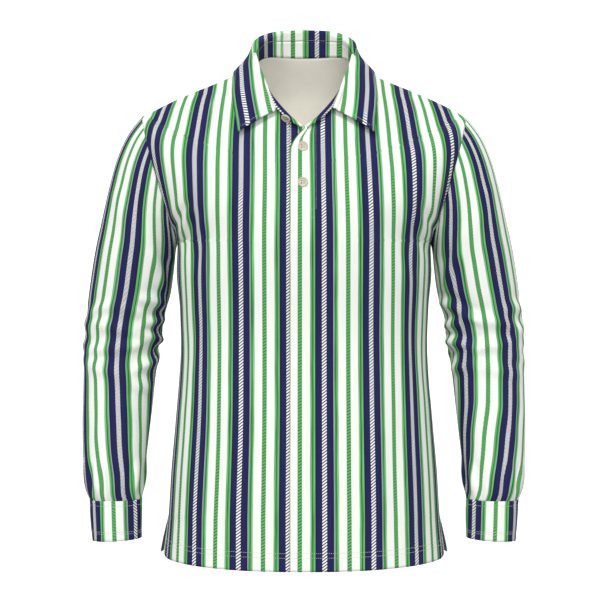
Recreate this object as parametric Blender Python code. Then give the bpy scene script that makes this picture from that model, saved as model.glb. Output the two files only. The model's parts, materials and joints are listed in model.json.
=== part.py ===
"""A long-sleeve polo in its worn form, with no wearer, every cut piece its own closed wall of cloth.

The frame is in metres with +Z up. The front faces -Y and the wearer's left is +X. The origin is inside
the neck, level with the points where the shoulders meet the collar. The tables are in millimetres.
A body panel is a run of sections. Each section starts on the panel's middle line and ends on its edge:
the side seam (stations 0 to 1), the armhole (1 to 2) or the shoulder seam (2 to 3).
"""

import math

import bmesh
import bpy
import mathutils
import numpy as np

MM = 0.001

# Driving dimensions, in millimetres
CLOTH = 1.8            # wall of one cut piece
SEAM_GAP = 0.3         # between pieces at a seam
WELD = 0.01            # points this close are one
CENTRE_SEAM_X = -20.5  # the centre-front seam and the placket's free edge
ARMHOLE_TOP_Z = -61.0
ARMHOLE_BOTTOM_Z = -249.0
ARMHOLE_HALF_DEPTH = 66.0
ARMHOLE_MIDDLE_X = 212.5
ARMHOLE_LEAN = 26.0    # the top stands this far out from the middle, and the bottom this far in
ARMHOLE_BOW = 4.5
HEM_CORNER_RADIUS = 9.0
HEM_CORNER_LIFT = 0.7  # share of a full quarter round
PLACKET_BOTTOM_Z = -222.0
PLACKET_UNDER_X = (-26.0, 14.0)
PLACKET_ROLL_Z = -123.0     # above this the top layer's free edge rolls away
PLACKET_ROLL_HEIGHT = 31.0
PLACKET_ROLL_WIDTH = 19.5
PLACKET_ROLL_POWER = 1.6
CUFF_WALL = 2.6
LEAF_FOLD_HALF = 2.6   # half the way across the collar's fold
LEAF_CRESTS = (0.8, 0.7)  # how far the inside and the crest of the fold rise, in halves of it
LEAF_CLEAR = 0.6       # between the neckband's top edge and the fall
UNDER_CLEAR = 0.8      # between the placket's two layers
NECK_AXIS_Y = -14.0
BELOW_NECK = 2.97      # a station just under the neckline
STAND_FIRST = 0.03     # where the neckband begins, from the centre front
BUTTON_RADIUS = 7.2
BUTTON_THICKNESS = 2.8
BUTTON_RIM = 1.5
BUTTON_DISH = 0.7
BUTTON_SIDES = 20
PLACKET_BUTTONS = (("button_upper", -2.0, -118.0), ("button_lower", -2.0, -170.0))
STAND_BUTTON_AROUND = 0.22
STAND_BUTTON_FACES = (-0.45, -0.77, -0.45)
STAND_BUTTON_DROP = (0.2, 1.4, -1.3)

# How finely the pieces are cut into faces
SIDE_ROWS = 14
ARMHOLE_ROWS = 12
SHOULDER_ROWS = 6
FRONT_LEFT_COLUMNS = 11
FRONT_RIGHT_COLUMNS = 9
BACK_COLUMNS = 22
RING_COLUMNS = 2 * ARMHOLE_ROWS


def table(header, *rows):
    """Columns by name, from a header and one row for each section."""
    names = header.split()
    return {name: np.array([row[i] for row in rows], float) for i, name in enumerate(names)}


# The side edges below the armpit. Under the vent's top the front and back edges part.
SIDE = table(
    "station front_x back_x front_y back_y   z",
    (0.000,   207.0, 214.0, -13.0,   6.0, -711.0),
    (0.045,   205.0, 210.0,  -9.0,   5.0, -690.0),
    (0.090,   202.5, 205.0,  -5.0,   3.0, -669.0),
    (0.140,   200.0, 200.0,   0.0,   0.0, -646.0),
    (0.265,   196.5, 196.5,   0.0,   0.0, -588.0),
    (0.415,   190.5, 190.5,   0.0,   0.0, -519.0),
    (0.565,   185.0, 185.0,   0.0,   0.0, -450.0),
    (0.685,   182.0, 182.0,   0.0,   0.0, -395.0),
    (0.795,   184.0, 184.0,   0.0,   0.0, -345.0),
    (0.905,   188.6, 188.6,   0.0,   0.0, -293.0),
    (1.000,   186.5, 186.5,   0.0,   0.0, -249.0),
)
# The shoulder seam, from the armhole's top to the neck. It lies a little forward of the ridge.
SHOULDER = table(
    "station    x      y      z",
    (2.0,   238.5,   0.0, -61.0),
    (2.25,  199.0,  -4.0, -41.5),
    (2.5,   161.0, -11.0, -26.0),
    (2.72,  127.0, -17.0, -13.5),
    (2.88,  101.0, -21.0,  -3.5),
    (3.0,    78.0, -22.0,   7.0),
)
# The middle lines of front and back. A cut of 1 brings a section square round to its edge, and the
# rise is the power by which a section climbs from its middle to its edge: at the neck it makes a V.
MIDDLE = table(
    "station front_y front_z back_y back_z front_cut back_cut roundness front_rise back_rise",
    (0.000,  -140.0, -715.0, 131.0, -713.0, 0.998, 0.998, 2.35, 2.0, 2.0),
    (0.140,  -138.5, -647.0, 130.0, -647.0, 1.000, 1.000, 2.35, 2.0, 2.0),
    (0.415,  -134.0, -519.0, 122.0, -519.0, 1.000, 1.000, 2.30, 2.0, 2.0),
    (0.685,  -128.5, -395.0, 109.0, -395.0, 1.000, 1.000, 2.25, 2.0, 2.0),
    (0.905,  -137.0, -293.0, 119.0, -293.0, 1.000, 1.000, 2.30, 2.0, 2.0),
    (1.000,  -139.5, -252.0, 124.0, -249.0, 1.000, 1.000, 2.35, 2.0, 2.0),
    (1.330,  -136.0, -207.0, 128.0, -193.0, 0.985, 0.985, 2.35, 2.0, 2.0),
    (1.670,  -127.0, -170.0, 127.0, -137.0, 0.900, 0.930, 2.25, 2.0, 2.0),
    (2.000,  -117.0, -140.0, 121.0,  -88.0, 0.780, 0.860, 2.20, 2.0, 2.0),
    (2.500,  -106.0, -112.0, 103.0,  -28.0, 0.860, 0.960, 2.20, 1.9, 2.0),
    (3.000,   -97.0,  -87.0,  66.0,   34.0, 0.940, 1.000, 2.15, 1.4, 2.0),
)
# Rings of the sleeve between its outer and inner lines, as seen from the front.
SLEEVE = table(
    "ring outer_x outer_z inner_x inner_z centre_y half_depth",
    (0,   238.5,  -61.0, 186.5, -249.0,   0.0, 66.0),
    (1,   260.5,  -90.0, 189.5, -252.5,  -1.0, 66.0),
    (2,   277.0, -127.0, 191.0, -257.0,  -1.0, 66.0),
    (3,   289.5, -172.0, 192.0, -264.0,  -1.0, 65.5),
    (4,   300.0, -217.0, 193.0, -275.0,   0.0, 65.0),
    (6,   309.5, -260.0, 194.7, -292.0,   1.0, 63.5),
    (8,   317.0, -305.0, 199.5, -325.0,   3.0, 61.0),
    (10,  323.0, -350.0, 208.0, -355.0,   6.0, 58.0),
    (13,  327.5, -402.0, 215.5, -400.0,   8.0, 55.0),
    (16,  328.0, -454.0, 221.5, -445.0,   3.0, 52.0),
    (18,  328.0, -505.0, 226.5, -499.0,  -6.0, 48.0),
    (20,  325.5, -568.0, 233.0, -564.0, -17.0, 43.5),
    (22,  321.5, -605.0, 236.5, -603.0, -23.0, 41.0),
    (23,  318.5, -618.5, 238.5, -617.0, -25.0, 37.0),
    (24,  314.5, -628.5, 239.0, -627.5, -26.0, 32.0),
)
CUFF = table(
    "ring outer_x outer_z inner_x inner_z centre_y half_depth",
    (0,   314.5, -629.1, 239.0, -628.1, -26.0, 32.0),
    (1,   313.5, -643.0, 238.8, -641.5, -27.5, 31.5),
    (2,   311.5, -667.0, 239.0, -665.0, -29.5, 31.0),
    (3,   309.5, -687.0, 239.3, -683.0, -31.0, 30.5),
)
# Soft folds of the sleeves: where the middle lies down the sleeve and round it (0 is the inner line,
# 90 the front, 180 the outer line), its tilt, half length, half width and how high the fold stands
# out of the sleeve. A trough has a minus height.
FOLDS = table(
    "side   z     round tilt  length width height",
    (-1, -338.0,   38.0,  12.0,  46.0,  9.0,  3.5),
    (-1, -366.0,   30.0,  -8.0,  40.0,  8.0,  4.5),
    (-1, -392.0,   22.0,  10.0,  44.0,  8.0,  5.0),
    (-1, -409.0,    8.0,   0.0,  22.0,  8.0, -4.5),
    (-1, -428.0,   32.0, -12.0,  42.0,  9.0,  4.5),
    (-1, -462.0,   50.0,   8.0,  36.0, 10.0,  2.5),
    (-1, -402.0,  168.0,  -6.0,  28.0,  9.0,  2.0),
    (-1, -300.0,   40.0,  60.0,  48.0, 10.0,  4.0),
    (-1, -262.0,   62.0,  68.0,  44.0, 10.0,  3.5),
    (1,  -344.0,   34.0, -14.0,  44.0,  9.0,  4.0),
    (1,  -372.0,   26.0,  10.0,  42.0,  8.0,  4.5),
    (1,  -398.0,   30.0,  -6.0,  46.0,  8.0,  5.0),
    (1,  -412.0,   10.0,   0.0,  22.0,  8.0, -4.0),
    (1,  -434.0,   36.0,  14.0,  40.0,  9.0,  4.0),
    (1,  -376.0,  160.0,  16.0,  40.0, 10.0,  3.5),
    (1,  -352.0,  164.0, -12.0,  34.0,  9.0,  2.5),
    (1,  -296.0,   44.0,  58.0,  50.0, 10.0,  4.0),
    (1,  -258.0,   66.0,  66.0,  42.0, 10.0,  3.0),
    (-1, -384.0,  315.0,  10.0,  44.0, 10.0,  3.5),
    (-1, -418.0,  325.0,  -8.0,  42.0, 10.0,  4.0),
    (1,  -380.0,  318.0,  -8.0,  44.0, 10.0,  4.0),
    (1,  -420.0,  322.0,  12.0,  40.0, 10.0,  3.5),
)
GATHERS = 8
GATHER_HEIGHT = 2.2
GATHER_TOP_Z = -570.0
GATHER_BOTTOM_Z = -628.0

# The collar, from the front end of its fall (0) to the middle of the back (1): the fold's line, then
# the outer edge. Around is the place on the neckline, from the centre front (0) over the shoulder
# seam (1) to the centre back (2).
COLLAR = table(
    "along around fold_x fold_y fold_z edge_x edge_y edge_z",
    (0.00,  0.35,  39.5, -97.0, -62.5,  92.5,  -99.0, -94.5),
    (0.10,  0.42,  45.5, -90.0, -46.0,  97.5,  -91.0, -77.0),
    (0.20,  0.52,  52.5, -79.0, -28.5, 101.5,  -79.0, -57.0),
    (0.32,  0.68,  60.5, -62.0,  -8.0, 104.5,  -56.5, -30.0),
    (0.44,  0.88,  69.0, -38.0,  17.0, 104.5,  -27.5,  -3.0),
    (0.56,  1.06,  75.0, -10.0,  36.0, 101.5,    3.0,   9.0),
    (0.68,  1.26,  79.0,  16.0,  52.0,  96.0,   33.0,   9.0),
    (0.80,  1.52,  72.0,  41.0,  65.0,  78.0,   62.5,   7.0),
    (0.90,  1.76,  45.0,  58.0,  74.5,  44.0,   82.0,   5.0),
    (1.00,  2.00,   0.0,  64.5,  77.0,   0.0,   89.5,   4.0),
)
# The neckband: its height, and how many degrees it turns outward from upright. At the open front it
# lies rolled out over the neckline, and round the back it leans in.
STAND = table(
    "around height turn_out",
    (0.00,  5.0, 130.0),
    (0.15,  9.0, 130.0),
    (0.35, 11.0, 122.0),
    (0.43,  9.0,  80.0),
    (0.52,  8.0,  30.0),
    (0.68, 10.0, -10.0),
    (0.88, 13.0, -18.0),
    (1.06, 17.0, -15.0),
    (1.50, 22.0, -11.0),
    (2.00, 26.0, -12.0),
)
LEFT_SPREAD = 6.0      # the wearer's left point of the collar lies this much further out
COLLAR_ALONG = 15
COLLAR_ACROSS = 6
STAND_ALONG = 20
STAND_UP = 2


def follow(knots, values, at):
    """A smooth curve through the values that never swings past them, read at the given places."""
    knots, values, at = np.asarray(knots, float), np.asarray(values, float), np.asarray(at, float)
    span = np.diff(knots)
    slope = np.diff(values) / span
    same = slope[1:] * slope[:-1] > 0
    safe = np.where(same, slope[1:] + slope[:-1], 1.0)
    inner = np.where(same, 2.0 * slope[1:] * slope[:-1] / safe, 0.0)
    tangent = np.concatenate(([slope[0]], inner, [slope[-1]]))
    i = np.clip(np.searchsorted(knots, at, side="right") - 1, 0, len(span) - 1)
    u = np.clip((at - knots[i]) / span[i], 0.0, 1.0)
    return (
        values[i] * (2 * u**3 - 3 * u**2 + 1)
        + tangent[i] * span[i] * (u**3 - 2 * u**2 + u)
        + values[i + 1] * (3 * u**2 - 2 * u**3)
        + tangent[i + 1] * span[i] * (u**3 - u**2)
    )


def unit(vectors):
    """The same directions, each of length 1."""
    return vectors / np.maximum(np.linalg.norm(vectors, axis=-1, keepdims=True), 1e-9)


def read(source, name, at, key="station"):
    """One column of a table, read smoothly at a place."""
    return follow(source[key], source[name], at)


def armhole(angle):
    """A point of the left armhole's front half. Angle 0 is the armpit and pi the shoulder's end."""
    half_height = (ARMHOLE_TOP_Z - ARMHOLE_BOTTOM_Z) / 2
    bow = ARMHOLE_BOW * math.sin(angle) * (1 - math.cos(angle)) / 2
    return np.array((
        ARMHOLE_MIDDLE_X - ARMHOLE_LEAN * math.cos(angle) + bow,
        -ARMHOLE_HALF_DEPTH * math.sin(angle),
        ARMHOLE_BOTTOM_Z + half_height * (1 - math.cos(angle)),
    ))


def panel_edge(panel, station):
    """Where a section of the front or back ends, on the wearer's left."""
    if station <= 1:
        return np.array((
            read(SIDE, panel + "_x", station),
            read(SIDE, panel + "_y", station),
            read(SIDE, "z", station),
        ))
    if station <= 2:
        point = armhole(math.pi * (station - 1))
        return point if panel == "front" else point * (1, -1, 1)
    return np.array([float(read(SHOULDER, axis, station)) for axis in "xyz"])


def section_shape(panel, station):
    """The middle point, edge, cut, roundness and full turn of a section."""
    middle = np.array((
        0.0,
        read(MIDDLE, panel + "_y", station),
        read(MIDDLE, panel + "_z", station),
    ))
    cut = float(read(MIDDLE, panel + "_cut", station))
    roundness = float(read(MIDDLE, "roundness", station))
    turn = math.asin(min(1.0, cut ** (roundness / 2)))
    return middle, panel_edge(panel, station), cut, roundness, turn


def torso_point(panel, station, share):
    """A point of the front or back. Share runs from -1, the right edge, over 0 to 1, the left edge."""
    middle, edge, cut, roundness, turn = section_shape(panel, station)
    angle = abs(share) * turn
    across = math.sin(angle) ** (2 / roundness) / cut
    round_back = (1 - max(0.0, math.cos(angle)) ** (2 / roundness)) / (
        1 - max(0.0, math.cos(turn)) ** (2 / roundness)
    )
    return np.array((
        math.copysign(edge[0] * across, share),
        middle[1] + (edge[1] - middle[1]) * round_back,
        middle[2] + (edge[2] - middle[2]) * across ** float(read(MIDDLE, panel + "_rise", station)),
    ))


def share_at(station, x):
    """The share of a front section that lies at a given x."""
    edge, cut, roundness, turn = section_shape("front", station)[1:]
    angle = math.asin(min(1.0, (abs(x) / edge[0] * cut) ** (roundness / 2)))
    return math.copysign(angle / turn, x)


def free_edge_x(station):
    """The x of the top layer's edge: straight on the seam, rolling away towards the neck."""
    z = float(read(MIDDLE, "front_z", station))
    rise = min(1.0, max(0.0, (z - PLACKET_ROLL_Z) / PLACKET_ROLL_HEIGHT))
    return CENTRE_SEAM_X + PLACKET_ROLL_WIDTH * rise**PLACKET_ROLL_POWER


def stations():
    """The places of the body's sections, from the hem to the neck."""
    return np.concatenate((
        np.linspace(0, 1, SIDE_ROWS + 1),
        np.linspace(1, 2, ARMHOLE_ROWS + 1)[1:],
        np.linspace(2, 3, SHOULDER_ROWS + 1)[1:],
    ))


def normals(points, closed=False):
    """Directions square to a grid of points, by the differences of neighbours. On a tube they point in."""
    down = np.gradient(points, axis=0)
    if closed:
        over = np.roll(points, -1, axis=1) - np.roll(points, 1, axis=1)
    else:
        over = np.gradient(points, axis=1)
    return unit(np.cross(over, down))


def pull_back(points, column, distance):
    """Draws one edge column of a grid in along the cloth."""
    inner = 1 if column == 0 else column - 1
    points[:, column] += unit(points[:, inner] - points[:, column]) * distance


def round_hem_corner(points, column, edge_x):
    """Lifts the lowest row near an edge, so that the corner is a quarter round."""
    in_from_edge = np.abs(edge_x) - np.abs(points[0, :, 0])
    reach = np.clip(1 - in_from_edge / HEM_CORNER_RADIUS, 0, 1)
    points[0, :, 2] += HEM_CORNER_RADIUS * (1 - np.sqrt(1 - reach**2)) * HEM_CORNER_LIFT
    return points


def front_grid(columns, first, last):
    """Points of a front panel between two shares, given as functions of the station."""
    return np.array([
        [torso_point("front", s, share) for share in np.linspace(first(s), last(s), columns + 1)]
        for s in stations()
    ])


def body_panels():
    """Grids and outward directions of the two fronts and the back."""
    seam = lambda s: share_at(s, CENTRE_SEAM_X)
    free = lambda s: share_at(s, free_edge_x(s))
    left = front_grid(FRONT_LEFT_COLUMNS, free, lambda s: 1.0)
    right = front_grid(FRONT_RIGHT_COLUMNS, lambda s: -1.0, seam)
    back = np.array([
        [torso_point("back", s, share) for share in np.linspace(-1, 1, BACK_COLUMNS + 1)]
        for s in stations()
    ])
    out_left, out_right, out_back = normals(left), normals(right), -normals(back)
    for front, column, back_column in ((out_left, -1, -1), (out_right, 0, 0)):
        shared = unit(front[:, column] + out_back[:, back_column])
        shoulder = slice(SIDE_ROWS + ARMHOLE_ROWS, None)
        sides = slice(0, SIDE_ROWS + 1)
        for rows in (shoulder, sides):
            front[rows, column] = shared[rows]
            out_back[rows, back_column] = shared[rows]
    for grid, column in ((left, FRONT_LEFT_COLUMNS), (right, 0), (back, 0), (back, BACK_COLUMNS)):
        pull_back(grid, column, SEAM_GAP / 2)
    pull_back(left, 0, SEAM_GAP / 2)
    pull_back(right, FRONT_RIGHT_COLUMNS, SEAM_GAP / 2)
    for grid, column in ((left, -1), (right, 0)):
        round_hem_corner(grid, column, grid[0, column, 0])
    return {
        "front_left": (left, out_left),
        "front_right": (right, out_right),
        "back": (back, out_back),
    }


def ring_points(source, at):
    """Rings between an outer and an inner line. Column 0 is the inner line and the front comes first."""
    angles = np.linspace(0, 2 * math.pi, RING_COLUMNS, endpoint=False)
    value = {name: read(source, name, at, "ring")[:, None] for name in source if name != "ring"}
    swing = (1 - np.cos(angles))[None, :] / 2
    return np.stack((
        value["inner_x"] + (value["outer_x"] - value["inner_x"]) * swing,
        value["centre_y"] - value["half_depth"] * np.sin(angles)[None, :],
        value["inner_z"] + (value["outer_z"] - value["inner_z"]) * swing,
    ), axis=-1)


def fold_height(side, points):
    """How far each point of a sleeve stands out with its folds and gathers."""
    centre = points.mean(axis=1, keepdims=True)
    girth = np.linalg.norm(points - np.roll(points, 1, axis=1), axis=-1).sum(axis=1, keepdims=True)
    turn = np.linspace(0, 360, points.shape[1], endpoint=False)[None, :]
    height = np.zeros(points.shape[:2])
    for i in np.flatnonzero(FOLDS["side"] == side):
        away = (turn - FOLDS["round"][i] + 180) % 360 - 180
        over = away / 360 * girth
        down = FOLDS["z"][i] - points[:, :, 2]
        tilt = math.radians(FOLDS["tilt"][i])
        along = over * math.cos(tilt) + down * math.sin(tilt)
        aside = down * math.cos(tilt) - over * math.sin(tilt)
        window = np.clip(1 - (along / FOLDS["length"][i]) ** 2, 0, 1)
        height += FOLDS["height"][i] * window * np.exp(-((aside / FOLDS["width"][i]) ** 2))
    near_cuff = np.clip((GATHER_TOP_Z - centre[..., 2]) / (GATHER_TOP_Z - GATHER_BOTTOM_Z), 0, 1)
    swell = np.sin(near_cuff * math.pi) ** 2
    waves = np.cos(np.radians(turn) * GATHERS + 0.6 * np.sin(np.radians(turn) * 3))
    return height + GATHER_HEIGHT * swell * waves


def sleeve(side, front_out, back_out):
    """The left or right sleeve: rings from just clear of the armhole to the cuff."""
    points = ring_points(SLEEVE, np.arange(SLEEVE["ring"][-1] + 1))
    half = ARMHOLE_ROWS
    loop = [armhole(math.pi * i / half) for i in range(half + 1)]
    loop += [loop[i] * (1, -1, 1) for i in range(half - 1, 0, -1)]
    loop = np.array(loop)
    rows = slice(SIDE_ROWS, SIDE_ROWS + half + 1)
    front_out, back_out = front_out[rows], back_out[rows]
    body_out = np.concatenate((front_out, back_out[half - 1:0:-1]))
    body_out[0] = unit(front_out[0] + back_out[0])
    body_out[half] = unit(front_out[half] + back_out[half])
    fade = np.clip(1 - np.arange(len(points)) / 4, 0, 1)[:, None, None]
    points += (loop - points[0])[None] * fade
    run = unit(np.roll(loop, -1, axis=0) - np.roll(loop, 1, axis=0))
    leave = unit(np.cross(run, body_out))
    leave *= np.sign(np.sum(leave * (loop.mean(axis=0) - loop), axis=1))[:, None]
    start = points[1] - points[0]
    start = unit(start - run * np.sum(start * run, axis=1, keepdims=True))
    points[0] = seam_start(loop, leave, start)
    points = points - normals(points, closed=True) * fold_height(side, points)[..., None]
    return points * (side, 1, 1), normals(points, closed=True) * (side, 1, 1)


def cuff(side):
    """A cuff band just under the sleeve's end."""
    points = ring_points(CUFF, np.arange(CUFF["ring"][-1] + 1))
    return points * (side, 1, 1), normals(points, closed=True) * (side, 1, 1)


def wall(name, points, square, thickness, colour, roughness, closed=False):
    """A closed wall of cloth: a grid laid on one of its faces, extruded through to the other."""
    if closed:
        points = np.concatenate((points, points[:, :1]), axis=1)
        square = np.concatenate((square, square[:, :1]), axis=1)
    first_face = (points + square * thickness / 2) * MM
    other_face = (points - square * thickness / 2) * MM
    rows, columns = points.shape[0] - 1, points.shape[1] - 1
    mesh = bmesh.new()
    bmesh.ops.create_grid(mesh, x_segments=columns, y_segments=rows, size=0.5)
    place = mesh.verts.layers.int.new("place")
    for v in mesh.verts:
        column, row = round((v.co.x + 0.5) * columns), round((v.co.y + 0.5) * rows)
        v[place] = row * (columns + 1) + column
        v.co = first_face[row, column]
    if closed:
        bmesh.ops.remove_doubles(mesh, verts=mesh.verts, dist=WELD * MM)
    grown = bmesh.ops.extrude_face_region(mesh, geom=mesh.faces[:], use_keep_orig=True)["geom"]
    for v in grown:
        if isinstance(v, bmesh.types.BMVert):
            row, column = divmod(v[place], columns + 1)
            v.co = other_face[row, column]
    return finish(name, mesh, colour, roughness)


def finish(name, mesh, colour, roughness):
    """Turns a closed bmesh outward and makes it a named, coloured object."""
    bmesh.ops.recalc_face_normals(mesh, faces=mesh.faces)
    data = bpy.data.meshes.new(name)
    mesh.to_mesh(data)
    mesh.free()
    data.shade_smooth()
    data.set_sharp_from_angle(angle=math.radians(40))
    material = bpy.data.materials.new(name)
    material.use_nodes = True
    shader = material.node_tree.nodes["Principled BSDF"]
    shader.inputs["Base Color"].default_value = (*colour, 1.0)
    shader.inputs["Roughness"].default_value = roughness
    shader.inputs["Metallic"].default_value = 0.0
    data.materials.append(material)
    thing = bpy.data.objects.new(name, data)
    bpy.context.scene.collection.objects.link(thing)
    return thing


def placket_under():
    """The button stand: a strip that follows the front, one wall and a gap behind it."""
    upper = [s for s in stations() if read(MIDDLE, "front_z", s) > PLACKET_BOTTOM_Z]
    xs = np.linspace(PLACKET_UNDER_X[0], PLACKET_UNDER_X[1], 5)
    points = np.array([[torso_point("front", s, share_at(s, x)) for x in xs] for s in upper])
    out = normals(points)
    return points - out * (CLOTH + UNDER_CLEAR), out


def front_place(x, z):
    """The point of the front's cloth seen at x and z, and the direction square to it there."""
    low, high = 0.9, 3.0
    for _ in range(40):
        station = (low + high) / 2
        if torso_point("front", station, share_at(station, x))[2] < z:
            low = station
        else:
            high = station
    here = torso_point("front", station, share_at(station, x))
    up = torso_point("front", min(station + 0.02, 3.0), share_at(station, x)) - here
    aside = torso_point("front", station, share_at(station, x + 2.0)) - here
    return here, unit(np.cross(aside, up))


def neck_point(around, station=3.0):
    """A point of the neckline, from the centre front (0) to the centre back (2), on the left side."""
    if around <= 1:
        return torso_point("front", station, around)
    return torso_point("back", station, 2.0 - around)


def seam_start(edge, leave, start):
    """Where a piece begins that is sewn to an edge and sets off another way, clear of that edge."""
    between = unit(leave + start)
    crease = np.sqrt(np.clip((1 - np.sum(leave * start, axis=-1, keepdims=True)) / 2, 0, 1))
    return edge + between * (SEAM_GAP + CLOTH * crease)


def stand_line(around):
    """The neckband's root just clear of the neckline, and the way that it rises from there."""
    base = neck_point(around)
    turn = math.radians(float(read(STAND, "turn_out", around, "around")))
    outward = unit((base - np.array((0.0, NECK_AXIS_Y, 0.0))) * (1, 1, 0))
    rise = np.array((0.0, 0.0, math.cos(turn))) + outward * math.sin(turn)
    below = neck_point(around, BELOW_NECK)
    return seam_start(base, unit(base - below), rise), rise


def stand_top(around):
    """The neckband's top edge."""
    root, rise = stand_line(around)
    return root + rise * float(read(STAND, "height", around, "around"))


def stand_column(around, side):
    """One column of the neckband, from its root to its top edge."""
    root, rise = stand_line(around)
    height = float(read(STAND, "height", around, "around"))
    return (root + rise * height * np.linspace(0, 1, STAND_UP + 1)[:, None]) * (side, 1, 1)


def collar_stand():
    """The neckband: up the right side, round the back and down the left side."""
    reach = np.linspace(STAND_FIRST, 2.0, STAND_ALONG + 1)
    right = [stand_column(a, -1) for a in reach]
    left = [stand_column(a, 1) for a in reach[-2::-1]]
    points = np.array(right + left).transpose(1, 0, 2)
    return points, normals(points)


def leaf_column(along, side):
    """One section of the fall: from the neckband's top edge over the fold and down to the edge."""
    value = {name: float(read(COLLAR, name, along, "along")) for name in COLLAR}
    fold = np.array([value["fold_" + axis] for axis in "xyz"])
    edge = np.array([value["edge_" + axis] for axis in "xyz"])
    if side > 0:
        spread = LEFT_SPREAD * max(0.0, 1 - along * 2.5)
        fold[0] += spread
        edge[0] += spread
    top, rise = stand_top(value["around"]), stand_line(value["around"])[1]
    start = top + rise * LEAF_CLEAR
    up = np.array((0.0, 0.0, 1.0))
    away = unit((edge - start) * (1, 1, 0))
    climb = max(0.0, fold[2] - start[2] - LEAF_FOLD_HALF)
    inside = start + rise * (climb + LEAF_FOLD_HALF * LEAF_CRESTS[0])
    outside = fold + away * LEAF_FOLD_HALF - up * LEAF_FOLD_HALF / 2
    crest = (inside + outside) / 2 + unit(rise + up) * LEAF_FOLD_HALF * LEAF_CRESTS[1]
    fall = [outside + (edge - outside) * step for step in np.linspace(0, 1, COLLAR_ACROSS)]
    return np.array([start, (start + inside) / 2, inside, crest] + fall) * (side, 1, 1)


def collar_leaf():
    """The fall of the collar, from the right point round the back to the left point."""
    reach = np.linspace(0, 1, COLLAR_ALONG + 1)
    right = [leaf_column(a, -1) for a in reach]
    left = [leaf_column(a, 1) for a in reach[-2::-1]]
    points = np.array(right + left).transpose(1, 0, 2)
    return points, normals(points)


def button(name, centre, out, colour, roughness):
    """A round button with a raised rim, its back just clear of the cloth."""
    mesh = bmesh.new()
    bmesh.ops.create_cone(
        mesh, cap_ends=True, segments=BUTTON_SIDES, radius1=BUTTON_RADIUS * MM,
        radius2=BUTTON_RADIUS * MM, depth=BUTTON_THICKNESS * MM,
    )
    face = max(mesh.faces, key=lambda f: f.calc_center_median().z)
    bmesh.ops.inset_region(mesh, faces=[face], thickness=BUTTON_RIM * MM)
    bmesh.ops.inset_region(mesh, faces=[face], thickness=BUTTON_DISH * MM, depth=-BUTTON_DISH * MM)
    thing = finish(name, mesh, colour, roughness)
    thing.rotation_mode = "QUATERNION"
    thing.rotation_quaternion = mathutils.Vector(out).to_track_quat("Z", "Y")
    lift = CLOTH / 2 + SEAM_GAP + BUTTON_THICKNESS / 2
    thing.location = (centre + out * lift) * MM
    return thing


def stand_button_place():
    """The band's own button peeps out under the rolled right end of the neckband, tipped down."""
    top = stand_top(STAND_BUTTON_AROUND) * (-1, 1, 1)
    return top + np.array(STAND_BUTTON_DROP), unit(np.array(STAND_BUTTON_FACES))


def build():
    """Makes every piece of the polo."""
    for thing in list(bpy.data.objects):
        bpy.data.objects.remove(thing, do_unlink=True)
    white, navy, green = (0.93, 0.93, 0.88), (0.027, 0.023, 0.12), (0.07, 0.39, 0.10)
    cream = (0.81, 0.73, 0.58)
    panels = body_panels()
    left_out = panels["front_left"][1][:, -1]
    back_out = panels["back"][1][:, -1]
    for name, colour in (("front_left", white), ("front_right", white), ("back", white)):
        points, out = panels[name]
        wall(name, points, out, CLOTH, colour, 0.85)
    wall("placket_under", *placket_under(), CLOTH, white, 0.85)
    for word, side in (("right", -1), ("left", 1)):
        wall("sleeve_" + word, *sleeve(side, left_out, back_out), CLOTH, white, 0.85, closed=True)
        wall("cuff_" + word, *cuff(side), CUFF_WALL, green, 0.85, closed=True)
    wall("collar_stand", *collar_stand(), CLOTH, navy, 0.85)
    wall("collar_leaf", *collar_leaf(), CLOTH, navy, 0.85)
    for name, x, z in PLACKET_BUTTONS:
        button(name, *front_place(x, z), cream, 0.45)
    button("button_stand", *stand_button_place(), cream, 0.45)


build()
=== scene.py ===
# %% [markdown]
# # A striped long-sleeve polo
# The shirt hangs in the shape a body would give it, with nobody inside. This first cell loads the
# imported CAD model as a fixed frame.

import json
import math

import bmesh
import bpy
import numpy as np
from mathutils import Matrix, Vector

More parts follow.
